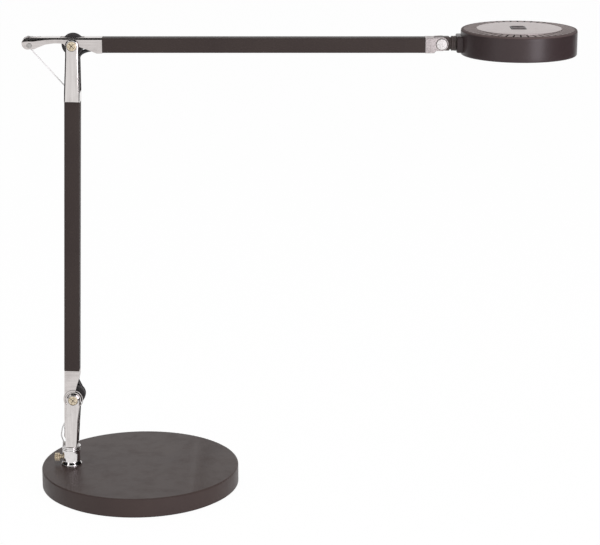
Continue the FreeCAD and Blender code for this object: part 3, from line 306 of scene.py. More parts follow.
def dark_card_material():
    """Dull black, for the edges that plated metal mirrors."""
    material = bpy.data.materials.new("dark_card")
    material.use_nodes = True
    shader = material.node_tree.nodes["Principled BSDF"]
    near_black = (0.01, 0.01, 0.01, 1.0)
    set_constants(shader, {"Base Color": near_black, "Roughness": 1.0, "Specular IOR Level": 0.0})
    return material


def light_card_material():
    """White on its upper side, and clear from below."""
    material = empty_material("light_card")
    tree = material.node_tree
    side = add_node(tree, "NewGeometry").outputs["Backfacing"]
    mixed_shader(tree, side, add_node(tree, "Emission", Color=WHITE), add_node(tree, "BsdfTransparent"))
    return material


studio_world()
stage_plane("floor", (0.2, 0.0, 0.0), 14, 14, (0, 0, 0), floor_material())

# Cards that only show as reflections: dark edges for the metal, a bright one for the socket.
upright = (math.pi / 2, 0, math.pi / 2)
flat = (0, 0, 0)
dark_card = dark_card_material()
cards = (
    ("card_left", (-1.5, 0.1, 0.9), 2.8, 1.8, upright, dark_card),
    ("card_right", (1.8, 0.0, 0.9), 3.0, 1.8, upright, dark_card),
    ("card_top", (0.15, -1.6, 2.3), 3.6, 5.4, flat, dark_card),
    ("card_post", (0.06, 0.0, 0.07), 0.34, 0.05, upright, dark_card),
    ("card_socket", (-0.0775, -0.0535, 0.0235), 0.095, 0.083, flat, light_card_material()),
)
for row in cards:
    card = stage_plane(*row)
    card.visible_camera = False
    card.visible_diffuse = False
    card.visible_shadow = False
    card.visible_transmission = False

# ---------------------------------------------------------------- effects shared by the finishes

VECTOR = "NodeSocketVector"
FLOAT = "NodeSocketFloat"


def new_effect(name, inputs, outputs):
    """Empty node group: the group, its input sockets from inside, and its output node."""
    group = bpy.data.node_groups.new(name, "ShaderNodeTree")
    for label, kind, value in [("Vector", VECTOR, None)] + inputs:
        socket = group.interface.new_socket(name=label, in_out="INPUT", socket_type=kind)
        if value is not None:
            socket.default_value = value
    for label in outputs:
        group.interface.new_socket(name=label, in_out="OUTPUT", socket_type=FLOAT)
    given = group.nodes.new("NodeGroupInput").outputs
    return group, given, given["Vector"], group.nodes.new("NodeGroupOutput").inputs


def enamel_effect():
    """Fine orange peel and powder grain of sprayed enamel, with a slow drift in its shade."""
    group, given, vector, result = new_effect(
        "enamel_texture",
        [("Grain Scale", FLOAT, 1600.0), ("Drift Scale", FLOAT, 18.0)],
        ["Height", "Drift", "Fleck"],
    )
    peel = noise(group, vector, 420.0, 2.0)
    grain = noise(group, vector, given["Grain Scale"], 2.0)
    drift = noise(group, vector, given["Drift Scale"], 4.0)
    coarse = math_node(group, "MULTIPLY", peel, 0.6)
    fine = math_node(group, "MULTIPLY", grain, 0.4)
    group.links.new(math_node(group, "ADD", coarse, fine), result["Height"])
    group.links.new(ramp(group, drift, 0.3, 0.7), result["Drift"])
    group.links.new(ramp(group, grain, 0.62, 0.72), result["Fleck"])
    return group


def handling_effect():
    """Faint smears and finger marks, mostly seen as changes of gloss."""
    group, given, vector, result = new_effect(
        "handling_marks", [("Scale", FLOAT, 60.0), ("Amount", FLOAT, 0.5)], ["Mask"]
    )
    smears = ramp(group, noise(group, vector, given["Scale"], 6.0, 0.62), 0.45, 0.7)
    prints = ramp(group, noise(group, vector, 240.0, 2.0), 0.3, 0.65, 0.5, 1.0)
    both = math_node(group, "MULTIPLY", smears, prints)
    group.links.new(math_node(group, "MULTIPLY", both, given["Amount"]), result["Mask"])
    return group


def drawn_effect():
    """Long fine lines left by drawing, brushing or polishing; Stretch flattens one direction."""
    group, given, vector, result = new_effect(
        "drawn_lines",
        [("Stretch", VECTOR, (0.02, 1.0, 1.0)), ("Scale", FLOAT, 900.0)],
        ["Lines", "Height"],
    )
    stretched = group.nodes.new("ShaderNodeVectorMath")
    stretched.operation = "MULTIPLY"
    group.links.new(vector, stretched.inputs[0])
    group.links.new(given["Stretch"], stretched.inputs[1])
    lines = noise(group, stretched.outputs[0], given["Scale"], 4.0, 0.6)
    broad = ramp(group, noise(group, stretched.outputs[0], 160.0, 2.0), 0.3, 0.7, 0.6, 1.0)
    group.links.new(ramp(group, lines, 0.35, 0.65), result["Lines"])
    group.links.new(math_node(group, "MULTIPLY", lines, broad), result["Height"])
    return group


def mottle_effect():
    """Patchy cells of plated or cast metal."""
    group, given, vector, result = new_effect(
        "metal_mottle", [("Scale", FLOAT, 500.0)], ["Patches", "Height"]
    )
    cells = add_node(group, "TexVoronoi")
    cells.feature = "SMOOTH_F1"
    cells.inputs["Smoothness"].default_value = 0.7
    group.links.new(vector, cells.inputs["Vector"])
    group.links.new(given["Scale"], cells.inputs["Scale"])
    cloud = noise(group, vector, given["Scale"], 5.0, 0.6)
    edges = ramp(group, cells.outputs["Distance"], 0.1, 0.7)
    clouds = ramp(group, cloud, 0.35, 0.65, 0.4, 1.3)
    group.links.new(math_node(group, "MULTIPLY", edges, clouds), result["Patches"])
    group.links.new(cloud, result["Height"])
    return group


ENAMEL = enamel_effect()
HANDLING = handling_effect()
DRAWN = drawn_effect()
MOTTLE = mottle_effect()

# ---------------------------------------------------------------- finishes


def colour(red, green, blue):
    """Linear colour from the 0 to 255 values seen on a screen."""
    values = []
    for value in (red, green, blue):
        share = value / 255
        values.append(share / 12.92 if share <= 0.04045 else ((share + 0.055) / 1.055) ** 2.4)
    return (*values, 1.0)


def finish(name, **constants):
    """Material with its object coordinates and its shader, whose constant sockets are set here."""
    material = bpy.data.materials.new(name)
    material.use_nodes = True
    tree = material.node_tree
    shader = tree.nodes["Principled BSDF"]
    set_constants(shader, constants)
    place = tree.nodes.new("ShaderNodeTexCoord")
    return material, tree, shader, place.outputs["Object"]


def effect(tree, group, vector, **values):
    """One of the shared effects, with its settings; returns its outputs."""
    node = tree.nodes.new("ShaderNodeGroup")
    node.node_tree = group
    tree.links.new(vector, node.inputs["Vector"])
    set_constants(node, values)
    return node.outputs


def blended(tree, factor, first, second):
    """Colour between two, each a constant or an output socket."""
    colour_a, colour_b, colour_out = 6, 7, 2
    mix = tree.nodes.new("ShaderNodeMix")
    mix.data_type = "RGBA"
    tree.links.new(factor, mix.inputs["Factor"])
    for index, value in ((colour_a, first), (colour_b, second)):
        if isinstance(value, tuple):
            mix.inputs[index].default_value = value
        else:
            tree.links.new(value, mix.inputs[index])
    return mix.outputs[colour_out]


def dress(tree, shader, tint, gloss, height, distance):
    """Colour, roughness and relief taken to the shader; distance is the relief's depth."""
    tree.links.new(tint, shader.inputs["Base Color"])
    tree.links.new(gloss, shader.inputs["Roughness"])
    bump = add_node(tree, "Bump", Strength=1.0, Distance=distance * MM)
    tree.links.new(height, bump.inputs["Height"])
    tree.links.new(bump.outputs["Normal"], shader.inputs["Normal"])


def enamel(name, dark, light, roughness, distance, shine):
    """Sprayed dark enamel: shade drift, fine flecks, smears in the gloss, orange peel."""
    material, tree, shader, place = finish(name, Metallic=0.0, Specular_IOR_Level=shine)
    texture = effect(tree, ENAMEL, place)
    marks = effect(tree, HANDLING, place, Scale=45.0, Amount=1.0)
    light = colour(*light)
    tint = blended(tree, texture["Drift"], colour(*dark), light)
    fleck = tuple(min(1.0, value * 1.5) for value in light[:3]) + (1.0,)
    tint = blended(tree, math_node(tree, "MULTIPLY", texture["Fleck"], 0.35), tint, fleck)
    gloss = ramp(tree, marks["Mask"], 0.0, 1.0, roughness, roughness + 0.1)
    dress(tree, shader, tint, gloss, texture["Height"], distance)
    return material


def plated(name, tone, second_tone, roughness, stretch, distance=0.004):
    """Bright plated sheet: drawn lines under the plating and smears in its gloss."""
    material, tree, shader, place = finish(name, Metallic=1.0)
    lines = effect(tree, DRAWN, place, Stretch=stretch, Scale=700.0)
    marks = effect(tree, HANDLING, place, Scale=70.0, Amount=1.0)
    mark_shade = math_node(tree, "MULTIPLY", marks["Mask"], 0.5)
    line_shade = math_node(tree, "MULTIPLY", lines["Lines"], 0.5)
    shade = math_node(tree, "ADD", mark_shade, line_shade)
    streaked = math_node(tree, "MULTIPLY", lines["Lines"], 0.04)
    smeared = ramp(tree, marks["Mask"], 0.0, 1.0, roughness, roughness + 0.08)
    tint = blended(tree, shade, colour(*tone), colour(*second_tone))
    dress(tree, shader, tint, math_node(tree, "ADD", streaked, smeared), lines["Height"], distance)
    return material


def mottled(name, tone, second_tone, roughness, scale, metallic=1.0, distance=0.02):
    """Cast, zinc-plated or raw metal with uneven patches."""
    material, tree, shader, place = finish(name, Metallic=metallic)
    cells = effect(tree, MOTTLE, place, Scale=scale)
    marks = effect(tree, HANDLING, place, Scale=90.0, Amount=0.8)
    uneven = math_node(tree, "MULTIPLY", cells["Patches"], 0.14)
    smeared = ramp(tree, marks["Mask"], 0.0, 1.0, roughness, roughness + 0.1)
    tint = blended(tree, cells["Patches"], colour(*tone), colour(*second_tone))
    dress(tree, shader, tint, math_node(tree, "ADD", uneven, smeared), cells["Height"], distance)
    return material


def moulded(name, tone, second_tone, roughness, grain, distance=0.03, **constants):
    """Moulded plastic or rubber with a fine spark-eroded grain."""
    material, tree, shader, place = finish(name, Metallic=0.0, **constants)
    texture = effect(tree, ENAMEL, place, Grain_Scale=grain, Drift_Scale=30.0)
    marks = effect(tree, HANDLING, place, Scale=80.0, Amount=1.0)
    gloss = ramp(tree, marks["Mask"], 0.0, 1.0, roughness, roughness - 0.1)
    tint = blended(tree, texture["Drift"], colour(*tone), colour(*second_tone))
    dress(tree, shader, tint, gloss, texture["Height"], distance)
    return material


ALONG_X = (0.03, 1.0, 1.0)
ALONG_Z = (1.0, 1.0, 0.03)
ROUND_Z = (1.0, 1.0, 12.0)

base_enamel = enamel("base_enamel", (57, 46, 44), (62, 51, 48), 0.42, 0.012, 0.22)
tube_enamel = enamel("tube_enamel", (50, 42, 40), (54, 46, 43), 0.5, 0.008, 0.16)
head_enamel = enamel("head_enamel", (49, 39, 40), (54, 44, 44), 0.33, 0.006, 0.3)

lever_chrome = plated("lever_chrome", (213, 207, 205), (183, 177, 175), 0.1, ALONG_X)
fork_chrome = plated("fork_chrome", (220, 215, 213), (190, 185, 183), 0.05, ALONG_Z, 0.001)
socket_chrome = plated("socket_chrome", (232, 229, 228), (196, 192, 191), 0.08, ROUND_Z)
turned_chrome = plated("turned_chrome", (228, 226, 226), (214, 212, 211), 0.07, ROUND_Z)
bright_steel = plated("bright_steel", (190, 188, 186), (168, 165, 162), 0.22, (1.0, 1.0, 0.1))
spring_steel = plated("spring_steel", (150, 149, 148), (128, 126, 124), 0.3, (1.0, 0.2, 1.0))

bolt_zinc = mottled("bolt_zinc", (240, 237, 236), (178, 173, 172), 0.28, 900.0, 0.9)
warm_zinc = mottled("warm_zinc", (240, 229, 207), (158, 141, 112), 0.3, 1000.0, 0.8)
# pale_wire is painted reflection: an unmetallic near-white that stands in for the bright reflection of the steel
# wires.
pale_wire = mottled("pale_wire", (240, 239, 238), (228, 227, 226), 0.5, 700.0, 0.0)
# recess_shade is painted shade: a dull dark brown put in the screw's recess and in the gaps round the bolt heads,
# where shadow falls.
recess_shade = mottled("recess_shade", (78, 66, 54), (54, 46, 38), 0.7, 900.0, 0.2)
satin_bracket = mottled("satin_bracket", (198, 191, 190), (156, 149, 148), 0.42, 1100.0, 0.8, 0.06)
raw_casting = mottled("raw_casting", (90, 89, 90), (60, 58, 58), 0.6, 260.0, 0.6, 0.12)
plate_satin = mottled("plate_satin", (196, 187, 186), (186, 177, 176), 0.36, 2600.0, 0.85, 0.01)

black_mould = moulded("black_mould", (30, 27, 27), (38, 34, 34), 0.42, 2200.0)
rib_mould = moulded(
    "rib_mould", (122, 110, 108), (132, 120, 118), 0.5, 2200.0, 0.01, Specular_IOR_Level=0.1
)
rim_matt = moulded(
    "rim_matt", (78, 67, 66), (84, 73, 72), 0.6, 2200.0, 0.01, Specular_IOR_Level=0.06
)
neck_mould = moulded(
    "neck_mould", (62, 53, 51), (70, 61, 58), 0.5, 2200.0, 0.02, Specular_IOR_Level=0.3
)
key_mould = moulded(
    "key_mould", (98, 90, 90), (106, 98, 98), 0.5, 2400.0, 0.015, Specular_IOR_Level=0.2
)
key_dark = moulded(
    "key_dark", (62, 54, 54), (68, 60, 60), 0.5, 2400.0, 0.015, Specular_IOR_Level=0.06
)
pad_rubber = moulded("pad_rubber", (26, 25, 25), (34, 33, 33), 0.8, 900.0, 0.08)
cable_sheath = moulded("cable_sheath", (24, 23, 23), (31, 30, 30), 0.45, 1500.0, 0.02)
board_white = moulded("board_white", (222, 222, 218), (212, 212, 207), 0.5, 1200.0, 0.01)
led_phosphor = moulded("led_phosphor", (236, 205, 92), (226, 190, 76), 0.4, 1800.0, 0.02)
opal_diffuser = moulded(
    "opal_diffuser", (236, 235, 231), (229, 228, 223), 0.42, 1500.0, 0.05, Subsurface_Weight=0.15
)

FINISH_OF_SLOT = {
    "base_paint": base_enamel,
    "iron": raw_casting,
    "black_rubber": pad_rubber,
    "chrome": turned_chrome,
    "steel": bright_steel,
    "warm_zinc": warm_zinc,
    "bracket_metal": satin_bracket,
    "tube_paint": tube_enamel,
    "black_plastic": black_mould,
    "cable_black": cable_sheath,
    "head_paint": head_enamel,
    "plate_metal": plate_satin,
    "board": board_white,
    "led_yellow": led_phosphor,
    "diffuser_white": opal_diffuser,
}
for part in frame["record"]["subparts"]:
    cad_object = nodes[part["node"]]
    for material_slot in cad_object.material_slots:
        material_slot.material = FINISH_OF_SLOT[part["material_slot"]]

# ---------------------------------------------------------------- ways to shape a piece


def piece(name, bm, place, material, body, replaced=(), slot=None, crease=32.0, edge=0.0, steps=2):
    """Finished object from a bmesh in millimetres: placed, shaded, dressed and riding on its body."""
    bmesh.ops.remove_doubles(bm, verts=bm.verts, dist=0.001)
    bmesh.ops.recalc_face_normals(bm, faces=bm.faces)
    bmesh.ops.transform(bm, matrix=place, verts=bm.verts)
    for face in bm.faces:
        face.smooth = True
    for line in bm.edges:
        if len(line.link_faces) == 2 and line.calc_face_angle(0.0) > math.radians(crease):
            line.smooth = False
    mesh = bpy.data.meshes.new(name)
    bm.to_mesh(mesh)
    bm.free()
    made = bpy.data.objects.new(name, mesh)
    made.data.materials.append(material)
    scene.collection.objects.link(made)
    if edge:
        bevel = made.modifiers.new("soft_edges", "BEVEL")
        bevel.width = edge * MM
        bevel.segments = steps
        bevel.limit_method = "ANGLE"
        bevel.angle_limit = math.radians(max(crease, 30.0))
        bevel.harden_normals = True
    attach(made, body)
    if replaced:
        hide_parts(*replaced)
    return made


def skin(bm, loops, caps=False, closed=True):
    """Faces between successive rows of points that all have the same count."""
    rows = [[bm.verts.new(point) for point in loop] for loop in loops]
    count = len(rows[0])
    span = count if closed else count - 1
    for near, far in zip(rows, rows[1:]):
        for index in range(span):
            follow = (index + 1) % count
            bm.faces.new((near[index], near[follow], far[follow], far[index]))
    if caps:
        bm.faces.new(list(reversed(rows[0])))
        bm.faces.new(rows[-1])


def soft_line(points, radius, steps=4):
    """Open line with its inner corners rounded."""
    found = [Vector(points[0])]
    for before, corner, after in zip(points, points[1:], points[2:]):
        before, corner, after = Vector(before), Vector(corner), Vector(after)
        into = (before - corner).normalized()
        out = (after - corner).normalized()
        half = into.angle(out) / 2
        longest = (0.45 * (before - corner).length, 0.45 * (after - corner).length)
        reach = min(radius / max(math.tan(half), 0.05), *longest)
        for step in range(steps + 1):
            share = step / steps
            first = corner + into * reach * (1 - share)
            second = corner + out * reach * share
            found.append(first.lerp(second, share))
    found.append(Vector(points[-1]))
    return found


def ring_points(radius, count):
    """Evenly spaced points round a circle, as (across, up) pairs."""
    turns = [2 * math.pi * index / count for index in range(count)]
    return [(radius * math.cos(turn), radius * math.sin(turn)) for turn in turns]


def turned(bm, profile, axis="Z", segments=96, centre=(0, 0, 0), side=1):
    """Solid of revolution from (radius, height) points; a radius of 0 closes it."""
    loops = []
    for radius, height in profile:
        height *= side
        loop = []
        for a, b in ring_points(max(radius, 0.0), segments):
            point = {"X": (height, a, b), "Y": (a, height, -b), "Z": (a, b, height)}[axis]
            loop.append(Vector(point) + Vector(centre))
        loops.append(loop)
    skin(bm, loops)


def turned_piece(name, profile, axis, segments, *details, **options):
    """Piece of one turned profile; the details and options are those of piece."""
    bm = bmesh.new()
    turned(bm, profile, axis, segments)
    piece(name, bm, *details, **options)


def shaft(bm, radius, half, segments, centre=(0, 0, 0)):
    """Plain round bar across the lamp."""
    turned(bm, [(0.0, -half), (radius, -half), (radius, half), (0.0, half)], "Y", segments, centre)


def round_section(width, height, radius, steps=5):
    """Points round a rectangle with rounded corners, as (across, up) pairs."""
    points = []
    for corner, (side_a, side_b) in enumerate(((1, 1), (-1, 1), (-1, -1), (1, -1))):
        for step in range(steps + 1):
            turn = math.pi / 2 * (corner + step / steps)
            a = side_a * (width / 2 - radius) + radius * math.cos(turn)
            b = side_b * (height / 2 - radius) + radius * math.sin(turn)
            points.append((a, b))
    return points


def box_between(bm, low, high):
    """Box between two opposite corners."""
    corners = [(x, y, z) for x in (low[0], high[0]) for y in (low[1], high[1]) for z in (low[2], high[2])]
    made = [bm.verts.new(corner) for corner in corners]
    for index in ((0, 1, 3, 2), (4, 6, 7, 5), (0, 4, 5, 1), (2, 3, 7, 6), (0, 2, 6, 4), (1, 5, 7, 3)):
        bm.faces.new([made[i] for i in index])


def plate(bm, outline, y0, y1, depth=0.0, width=0.0, steps=1):
    """Flat plate with the outline (x, z) points from y0 to y1; its y0 rim rolls over a depth and width."""
    sign = 1 if y1 > y0 else -1
    loops = []
    if depth:
        inner = inset_outline(outline, width)
        for step in range(steps + 1):
            turn = math.pi / 2 * step / steps
            share = 1 - math.sin(turn)
            y = y0 + sign * depth * (1 - math.cos(turn))
            pairs = zip(outline, inner)
            loops.append([(a[0] + (b[0] - a[0]) * share, y, a[1] + (b[1] - a[1]) * share) for a, b in pairs])
    else:
        loops.append([(x, y0, z) for x, z in outline])
    loops.append([(x, y1, z) for x, z in outline])
    skin(bm, loops, True)


def rolled_cheeks(bm, outline):
    """The two cheeks of a fork, with rolled outer edges."""
    for side in (-1, 1):
        outer, inner = side * CHEEK_OUTER, side * CHEEK_INNER
        plate(bm, outline, outer, inner, CHEEK_ROLL_DEPTH, CHEEK_ROLL_WIDTH, CHEEK_ROLL_STEPS)


def inset_outline(outline, distance):
    """Outline moved inwards by a distance, point by point."""
    corners = [Vector(corner) for corner in outline]
    following = corners[1:] + corners[:1]
    area = sum(a[0] * b[1] - b[0] * a[1] for a, b in zip(outline, outline[1:] + outline[:1]))
    side = 1 if area > 0 else -1
    found = []
    for before, here, after in zip(corners[-1:] + corners, corners, following):
        first = (here - before).normalized()
        second = (after - here).normalized()
        normal_a = Vector((-first.y, first.x)) * side
        normal_b = Vector((-second.y, second.x)) * side
        middle = (normal_a + normal_b).normalized()
        lean = max(middle.dot(normal_a), 0.5)
        found.append(tuple(here + middle * distance / lean))
    return found


def arc(centre, radius, start, stop, steps):
    """(x, z) points on a circle, degrees counted from +X towards +Z."""
    found = []
    for step in range(steps + 1):
        turn = math.radians(start + (stop - start) * step / steps)
        found.append((centre[0] + radius * math.cos(turn), centre[1] + radius * math.sin(turn)))
    return found


def cord(name, points, radius, place, material, resolution=12, sides=3):
    """Smooth round cord along control points, as a mesh."""
    curve = bpy.data.curves.new(name, "CURVE")
    curve.dimensions = "3D"
    curve.bevel_depth = radius * MM
    curve.bevel_resolution = sides
    curve.use_fill_caps = True
    curve.resolution_u = resolution
    spline = curve.splines.new("NURBS")
    spline.points.add(len(points) - 1)
    for control, point in zip(spline.points, points):
        control.co = (*(place @ Vector(point)), 1.0)
    spline.order_u = 3
    spline.use_endpoint_u = True
    holder = bpy.data.objects.new(name + "_path", curve)
    scene.collection.objects.link(holder)
    depsgraph = bpy.context.evaluated_depsgraph_get()
    mesh = bpy.data.meshes.new_from_object(holder.evaluated_get(depsgraph))
    bpy.data.objects.remove(holder)
    bpy.data.curves.remove(curve)
    mesh.name = name
    mesh.materials.clear()
    mesh.materials.append(material)
    for polygon in mesh.polygons:
        polygon.use_smooth = True
    made = bpy.data.objects.new(name, mesh)
    scene.collection.objects.link(made)
    return made


def between(a, b, count=8):
    """Evenly spaced points from a to b."""
    return [Vector(a).lerp(Vector(b), index / count) for index in range(count + 1)]


# ---------------------------------------------------------------- base, socket and post


def foot_socket():
    """Socket on the base with a flared foot, in which the post turns."""
    profile = [(7.1, 22.6), (7.1, SOCKET_TOP - 0.5), (7.7, SOCKET_TOP)]
    profile += soft_line([(8.6, SOCKET_TOP), (10.0, SOCKET_TOP), (10.0, SOCKET_TOP - 6)], 0.7)
    profile += soft_line([(10.0, 34.0), (10.0, 27.2), (11.8, 24.0), (11.8, 22.55)], 3.0, 6)
    profile += [(9.2, 22.5), (7.1, 22.6)]
    turned_piece(
        "foot_socket_turned", profile, "Z", 96, POST, socket_chrome, "base", ["foot_socket"], "chrome"
    )


def post_collar():
    """Ring on the socket, with a groove between two rounded lips."""
    low, high = COLLAR_BOTTOM, COLLAR_TOP
    middle = (low + high) / 2
    lower_lip = [(9.2, low), (10.2, low), (10.2, middle - 0.3), (9.4, middle - 0.1)]
    upper_lip = [(9.4, middle), (10.5, middle + 0.1), (10.5, high), (9.2, high)]
    profile = [(7.0, low), (8.8, low)]
    profile += soft_line(lower_lip, 0.8, 5)[1:-1] + soft_line(upper_lip, 0.9, 5)[1:-1]
    profile += [(8.6, high), (8.4, high - 0.25), (8.1, high), (7.0, high)]
    turned_piece(
        "post_collar_ring", profile, "Z", 96, POST, socket_chrome, "post", ["post_collar"], "chrome"
    )


def knurled_head(bm, start, length, radius, teeth):
    """Knurled grip along -X from start, with a domed end."""
    segments = teeth * 4
    profile = [(radius * 0.55, 0.0), (radius * 0.93, 0.0), (radius, 0.5), (radius, length - 0.7)]
    profile += [(radius * 0.9, length), (radius * 0.62, length)]
    profile += [(radius * 0.56, length - 0.35), (0.0, length - 0.35)]
    loops = []
    for across, along in profile:
        loop = []
        for index in range(segments):
            turn = 2 * math.pi * index / segments
            notch = 0.42 if index % 4 == 0 and across > radius * 0.8 else 0.0
            reach = across - notch
            loop.append((start - along, reach * math.cos(turn), reach * math.sin(turn)))
        loops.append(loop)
    skin(bm, loops)


def thumb_screw():
    """Screw that clamps the post, with its stem and knurled head."""
    bm = bmesh.new()
    knurled_head(bm, -13.6, 5.4, 4.5, 20)
    stem = [(0.0, -7.1), (1.6, -7.1), (2.0, -7.6), (2.0, -11.4), (2.9, -11.9), (3.0, -13.2), (2.5, -13.6)]
    turned(bm, stem, "X", 40)
    bmesh.ops.translate(bm, verts=bm.verts, vec=(0, 0, THUMB_Z))
    body, replaced, slot = "clamp_screw", ["thumb_screw"], "warm_zinc"
    piece("thumb_screw_knurled", bm, POST, warm_zinc, body, replaced, slot, crease=25.0)


def post_fork():
    """Bridge and two tapering cheeks with round eyes."""
    left = FORK_LEFT
    right = left + FORK_WIDTH
    foot = COLLAR_TOP - SHOULDER[1]
    bm = bmesh.new()
    rolled_cheeks(bm, [(left, foot)] + arc((0, 0), EYE, 182, -2, 28) + [(right, foot)])
    side = CHEEK_INNER + 0.2
    box_between(bm, (left + 0.2, -side, foot), (right - 0.2, side, BRIDGE_TOP - SHOULDER[1]))
    body, replaced, slot = "post", ["post_fork"], "chrome"
    piece("post_fork_pressed", bm, SHOULDER_PIVOT, fork_chrome, body, replaced, slot, crease=28.0)


def bolt_rim(bm, radius=6.1, height=2.6):
    """Screw head with a rolled rim round a shallow dish, on the front cheek."""
    dish = height - 0.7
    profile = [(0.0, 0.0), (radius - 0.1, 0.0), (radius, 0.5), (radius, height - 0.9)]
    profile += soft_line([(radius, height - 0.9), (radius - 0.3, height), (radius - 0.6, height)], 0.3)
    profile += [(radius - 0.7, dish), (0.0, dish)]
    turned(bm, [(r, CHEEK_OUTER + h) for r, h in profile], "Y", 64, side=-1)


def cross_shade(face):
    """Painted shade of the screw's recess: two dark bars of a cross and a dark line round its face, in place of a
    cut recess.
    """
    cross = bmesh.new()
    for turn in (38.0, 128.0):
        bar = bmesh.new()
        box_between(bar, (-3.4, face - 0.62, -0.3), (3.4, face - 0.45, 0.3))
        around = Matrix.Rotation(math.radians(turn), 3, "Y")
        bmesh.ops.rotate(bar, verts=bar.verts, matrix=around)
        joined = bpy.data.meshes.new("bar")
        bar.to_mesh(joined)
        cross.from_mesh(joined)
        bar.free()
        bpy.data.meshes.remove(joined)
    # The dark line round the face is painted shade of the gap under the rim.
    line = [(4.9, face), (5.4, face), (5.4, face - 0.12), (4.9, face - 0.12), (4.9, face)]
    turned(cross, line, "Y", 48)
    return cross


def pivot_hardware(name, place, body, bolt, nut):
    """Screw through both cheeks, its cream face with painted shade for its recess, and the cap nut behind."""
    bm = bmesh.new()
    bolt_rim(bm)
    shaft(bm, 2.0, CHEEK_OUTER, 32)
    piece(name + "_bolt_rim", bm, place, turned_chrome, body, [bolt], "warm_zinc", crease=40.0)
    face = -CHEEK_OUTER - 1.9
    disc = [(0.0, face), (5.15, face), (5.1, face - 0.3), (4.6, face - 0.5), (2.6, face - 0.55)]
    disc.append((0.0, face - 0.5))
    turned_piece(name + "_bolt_face", disc, "Y", 48, place, warm_zinc, body, [], "warm_zinc", crease=40.0)
    # Dark bars and ring in recess_shade: painted shade, not a cut recess.
    piece(name + "_cross_shade", cross_shade(face), place, recess_shade, body, [], "warm_zinc")
    dome = [(0.0, CHEEK_OUTER), (6.0, CHEEK_OUTER), (6.1, CHEEK_OUTER + 0.6)]
    for degrees in range(0, 90, 10):
        turn = math.radians(degrees)
        dome.append((6.1 * math.cos(turn), CHEEK_OUTER + 0.9 + 1.7 * math.sin(turn)))
    dome.append((0.0, CHEEK_OUTER + 2.6))
    turned_piece(name + "_cap_nut", dome, "Y", 64, place, turned_chrome, body, [nut], "chrome")


def guide_disc(name, place, body, replaced, centre, rim):
    """Black wheel with a round groove for the cable and a thin rib on each side."""
    half = 3.2
    side = [(2.06, -half + 0.3), (3.4, -half + 0.3), (3.6, -half), (5.2, -half), (5.4, -half + 0.4)]
    side += [(rim - 2.4, -half + 0.4), (rim - 2.1, -half), (rim - 0.6, -half)]
    side += [(rim, -half + 0.35), (rim, -half + 0.8)]
    turns = [math.radians(degrees) for degrees in range(-90, 91, 15)]
    groove = [(rim - 4.2 * math.cos(turn), 2.3 * math.sin(turn)) for turn in turns]
    profile = side + groove + [(r, -y) for r, y in reversed(side)] + side[:1]
    bm = bmesh.new()
    turned(bm, profile, "Y", 72, centre)
    piece(name, bm, place, black_mould, body, [replaced], "black_plastic")


def wire_anchor():
    """Lug on the post's collar that holds the shoulder wire."""
    foot = COLLAR_TOP - SHOULDER[1]
    low = (FORK_LEFT - ANCHOR_LENGTH, WIRE_SIDE - 1.3, foot)
    bm = bmesh.new()
    box_between(bm, low, (FORK_LEFT, WIRE_SIDE + 1.3, foot + ANCHOR_HEIGHT))
    details = (SHOULDER_PIVOT, bright_steel, "post", ["shoulder_anchor"], "steel")
    piece("wire_anchor_lug", bm, *details, edge=0.35, steps=3)


foot_socket()
post_collar()
thumb_screw()
post_fork()
wire_anchor()
pivot_hardware("shoulder", SHOULDER_PIVOT, "post", "shoulder_bolt", "shoulder_nut")
pivot_hardware("elbow", LOWER_ELBOW, "lower_arm", "elbow_bolt", "elbow_nut")
guide_disc("shoulder_guide_wheel", SHOULDER_PIVOT, "post", "shoulder_guide", (2.3, 0, 4.6), 10.8)
guide_disc("elbow_guide_wheel", LOWER_ELBOW, "lower_arm", "elbow_guide", (0.5, 0, -0.3), 12.0)

# ---------------------------------------------------------------- levers and tubes


def lever_floor(tail, offset):
    """Lower edge of a lever's side plates, as (x, z) points from the nose to the tube."""
    bottom = offset - LEVER_HEIGHT / 2
    line = [(-tail, -NOSE_DROP), (-tail + 5.0, -NOSE_DROP), (-0.82 * tail, -0.6 * NOSE_DROP)]
    line += [(-0.62 * tail, 1.3), (-0.42 * tail, 2.5), (-10.0, 2.3), (-7.3, 0.2)]
    line += arc((0, 0), 7.25, 185, 352, 16)
    line += [(10.5, -2.4), (16.0, -4.2 + 0.25 * offset), (21.5, -6.6 + 0.6 * offset)]
    return line + [(26.0, bottom), (40.0, bottom)]


def height_on(line, x):
    """Height of an (x, z) line at x."""
    for (x0, z0), (x1, z1) in zip(line, line[1:]):
        if x0 <= x <= x1:
            return z0 + (z1 - z0) * (x - x0) / max(x1 - x0, 1e-6)
    return line[-1][1] if x > line[-1][0] else line[0][1]


def lever_stations(tail, offset, start):
    """(x, lower edge, top) along a lever: first round its nose, then up to the tube."""
    top = offset + LEVER_HEIGHT / 2
    line = lever_floor(tail, offset)
    nose_radius = (top + NOSE_DROP) / 2 + NOSE_SWELL
    nose_x = -tail - NOSE_SHIFT
    nose_z = (top - NOSE_DROP) / 2
    last = math.degrees(math.asin((top - nose_z) / nose_radius))
    stations = []
    for step in range(1, 23):
        turn = math.radians(180 - (180 - last) * step / 22)
        x = nose_x + nose_radius * math.cos(turn)
        lift = nose_radius * math.sin(turn)
        low = nose_z - lift if x < nose_x else min(nose_z - lift, height_on(line, x))
        stations.append((x, low, nose_z + lift))
    marks = {start, *DISC_SLOT[:2], SHOULDER_SLOT[1], *WIRE_WINDOW[:2]}
    marks |= {-tail + LEVER_STATION * index for index in range(1, int((start + tail) / LEVER_STATION) + 1)}
    for x in sorted(marks):
        if -tail < x <= start and x - stations[-1][0] > 0.15:
            stations.append((x, height_on(line, x), top))
    return stations


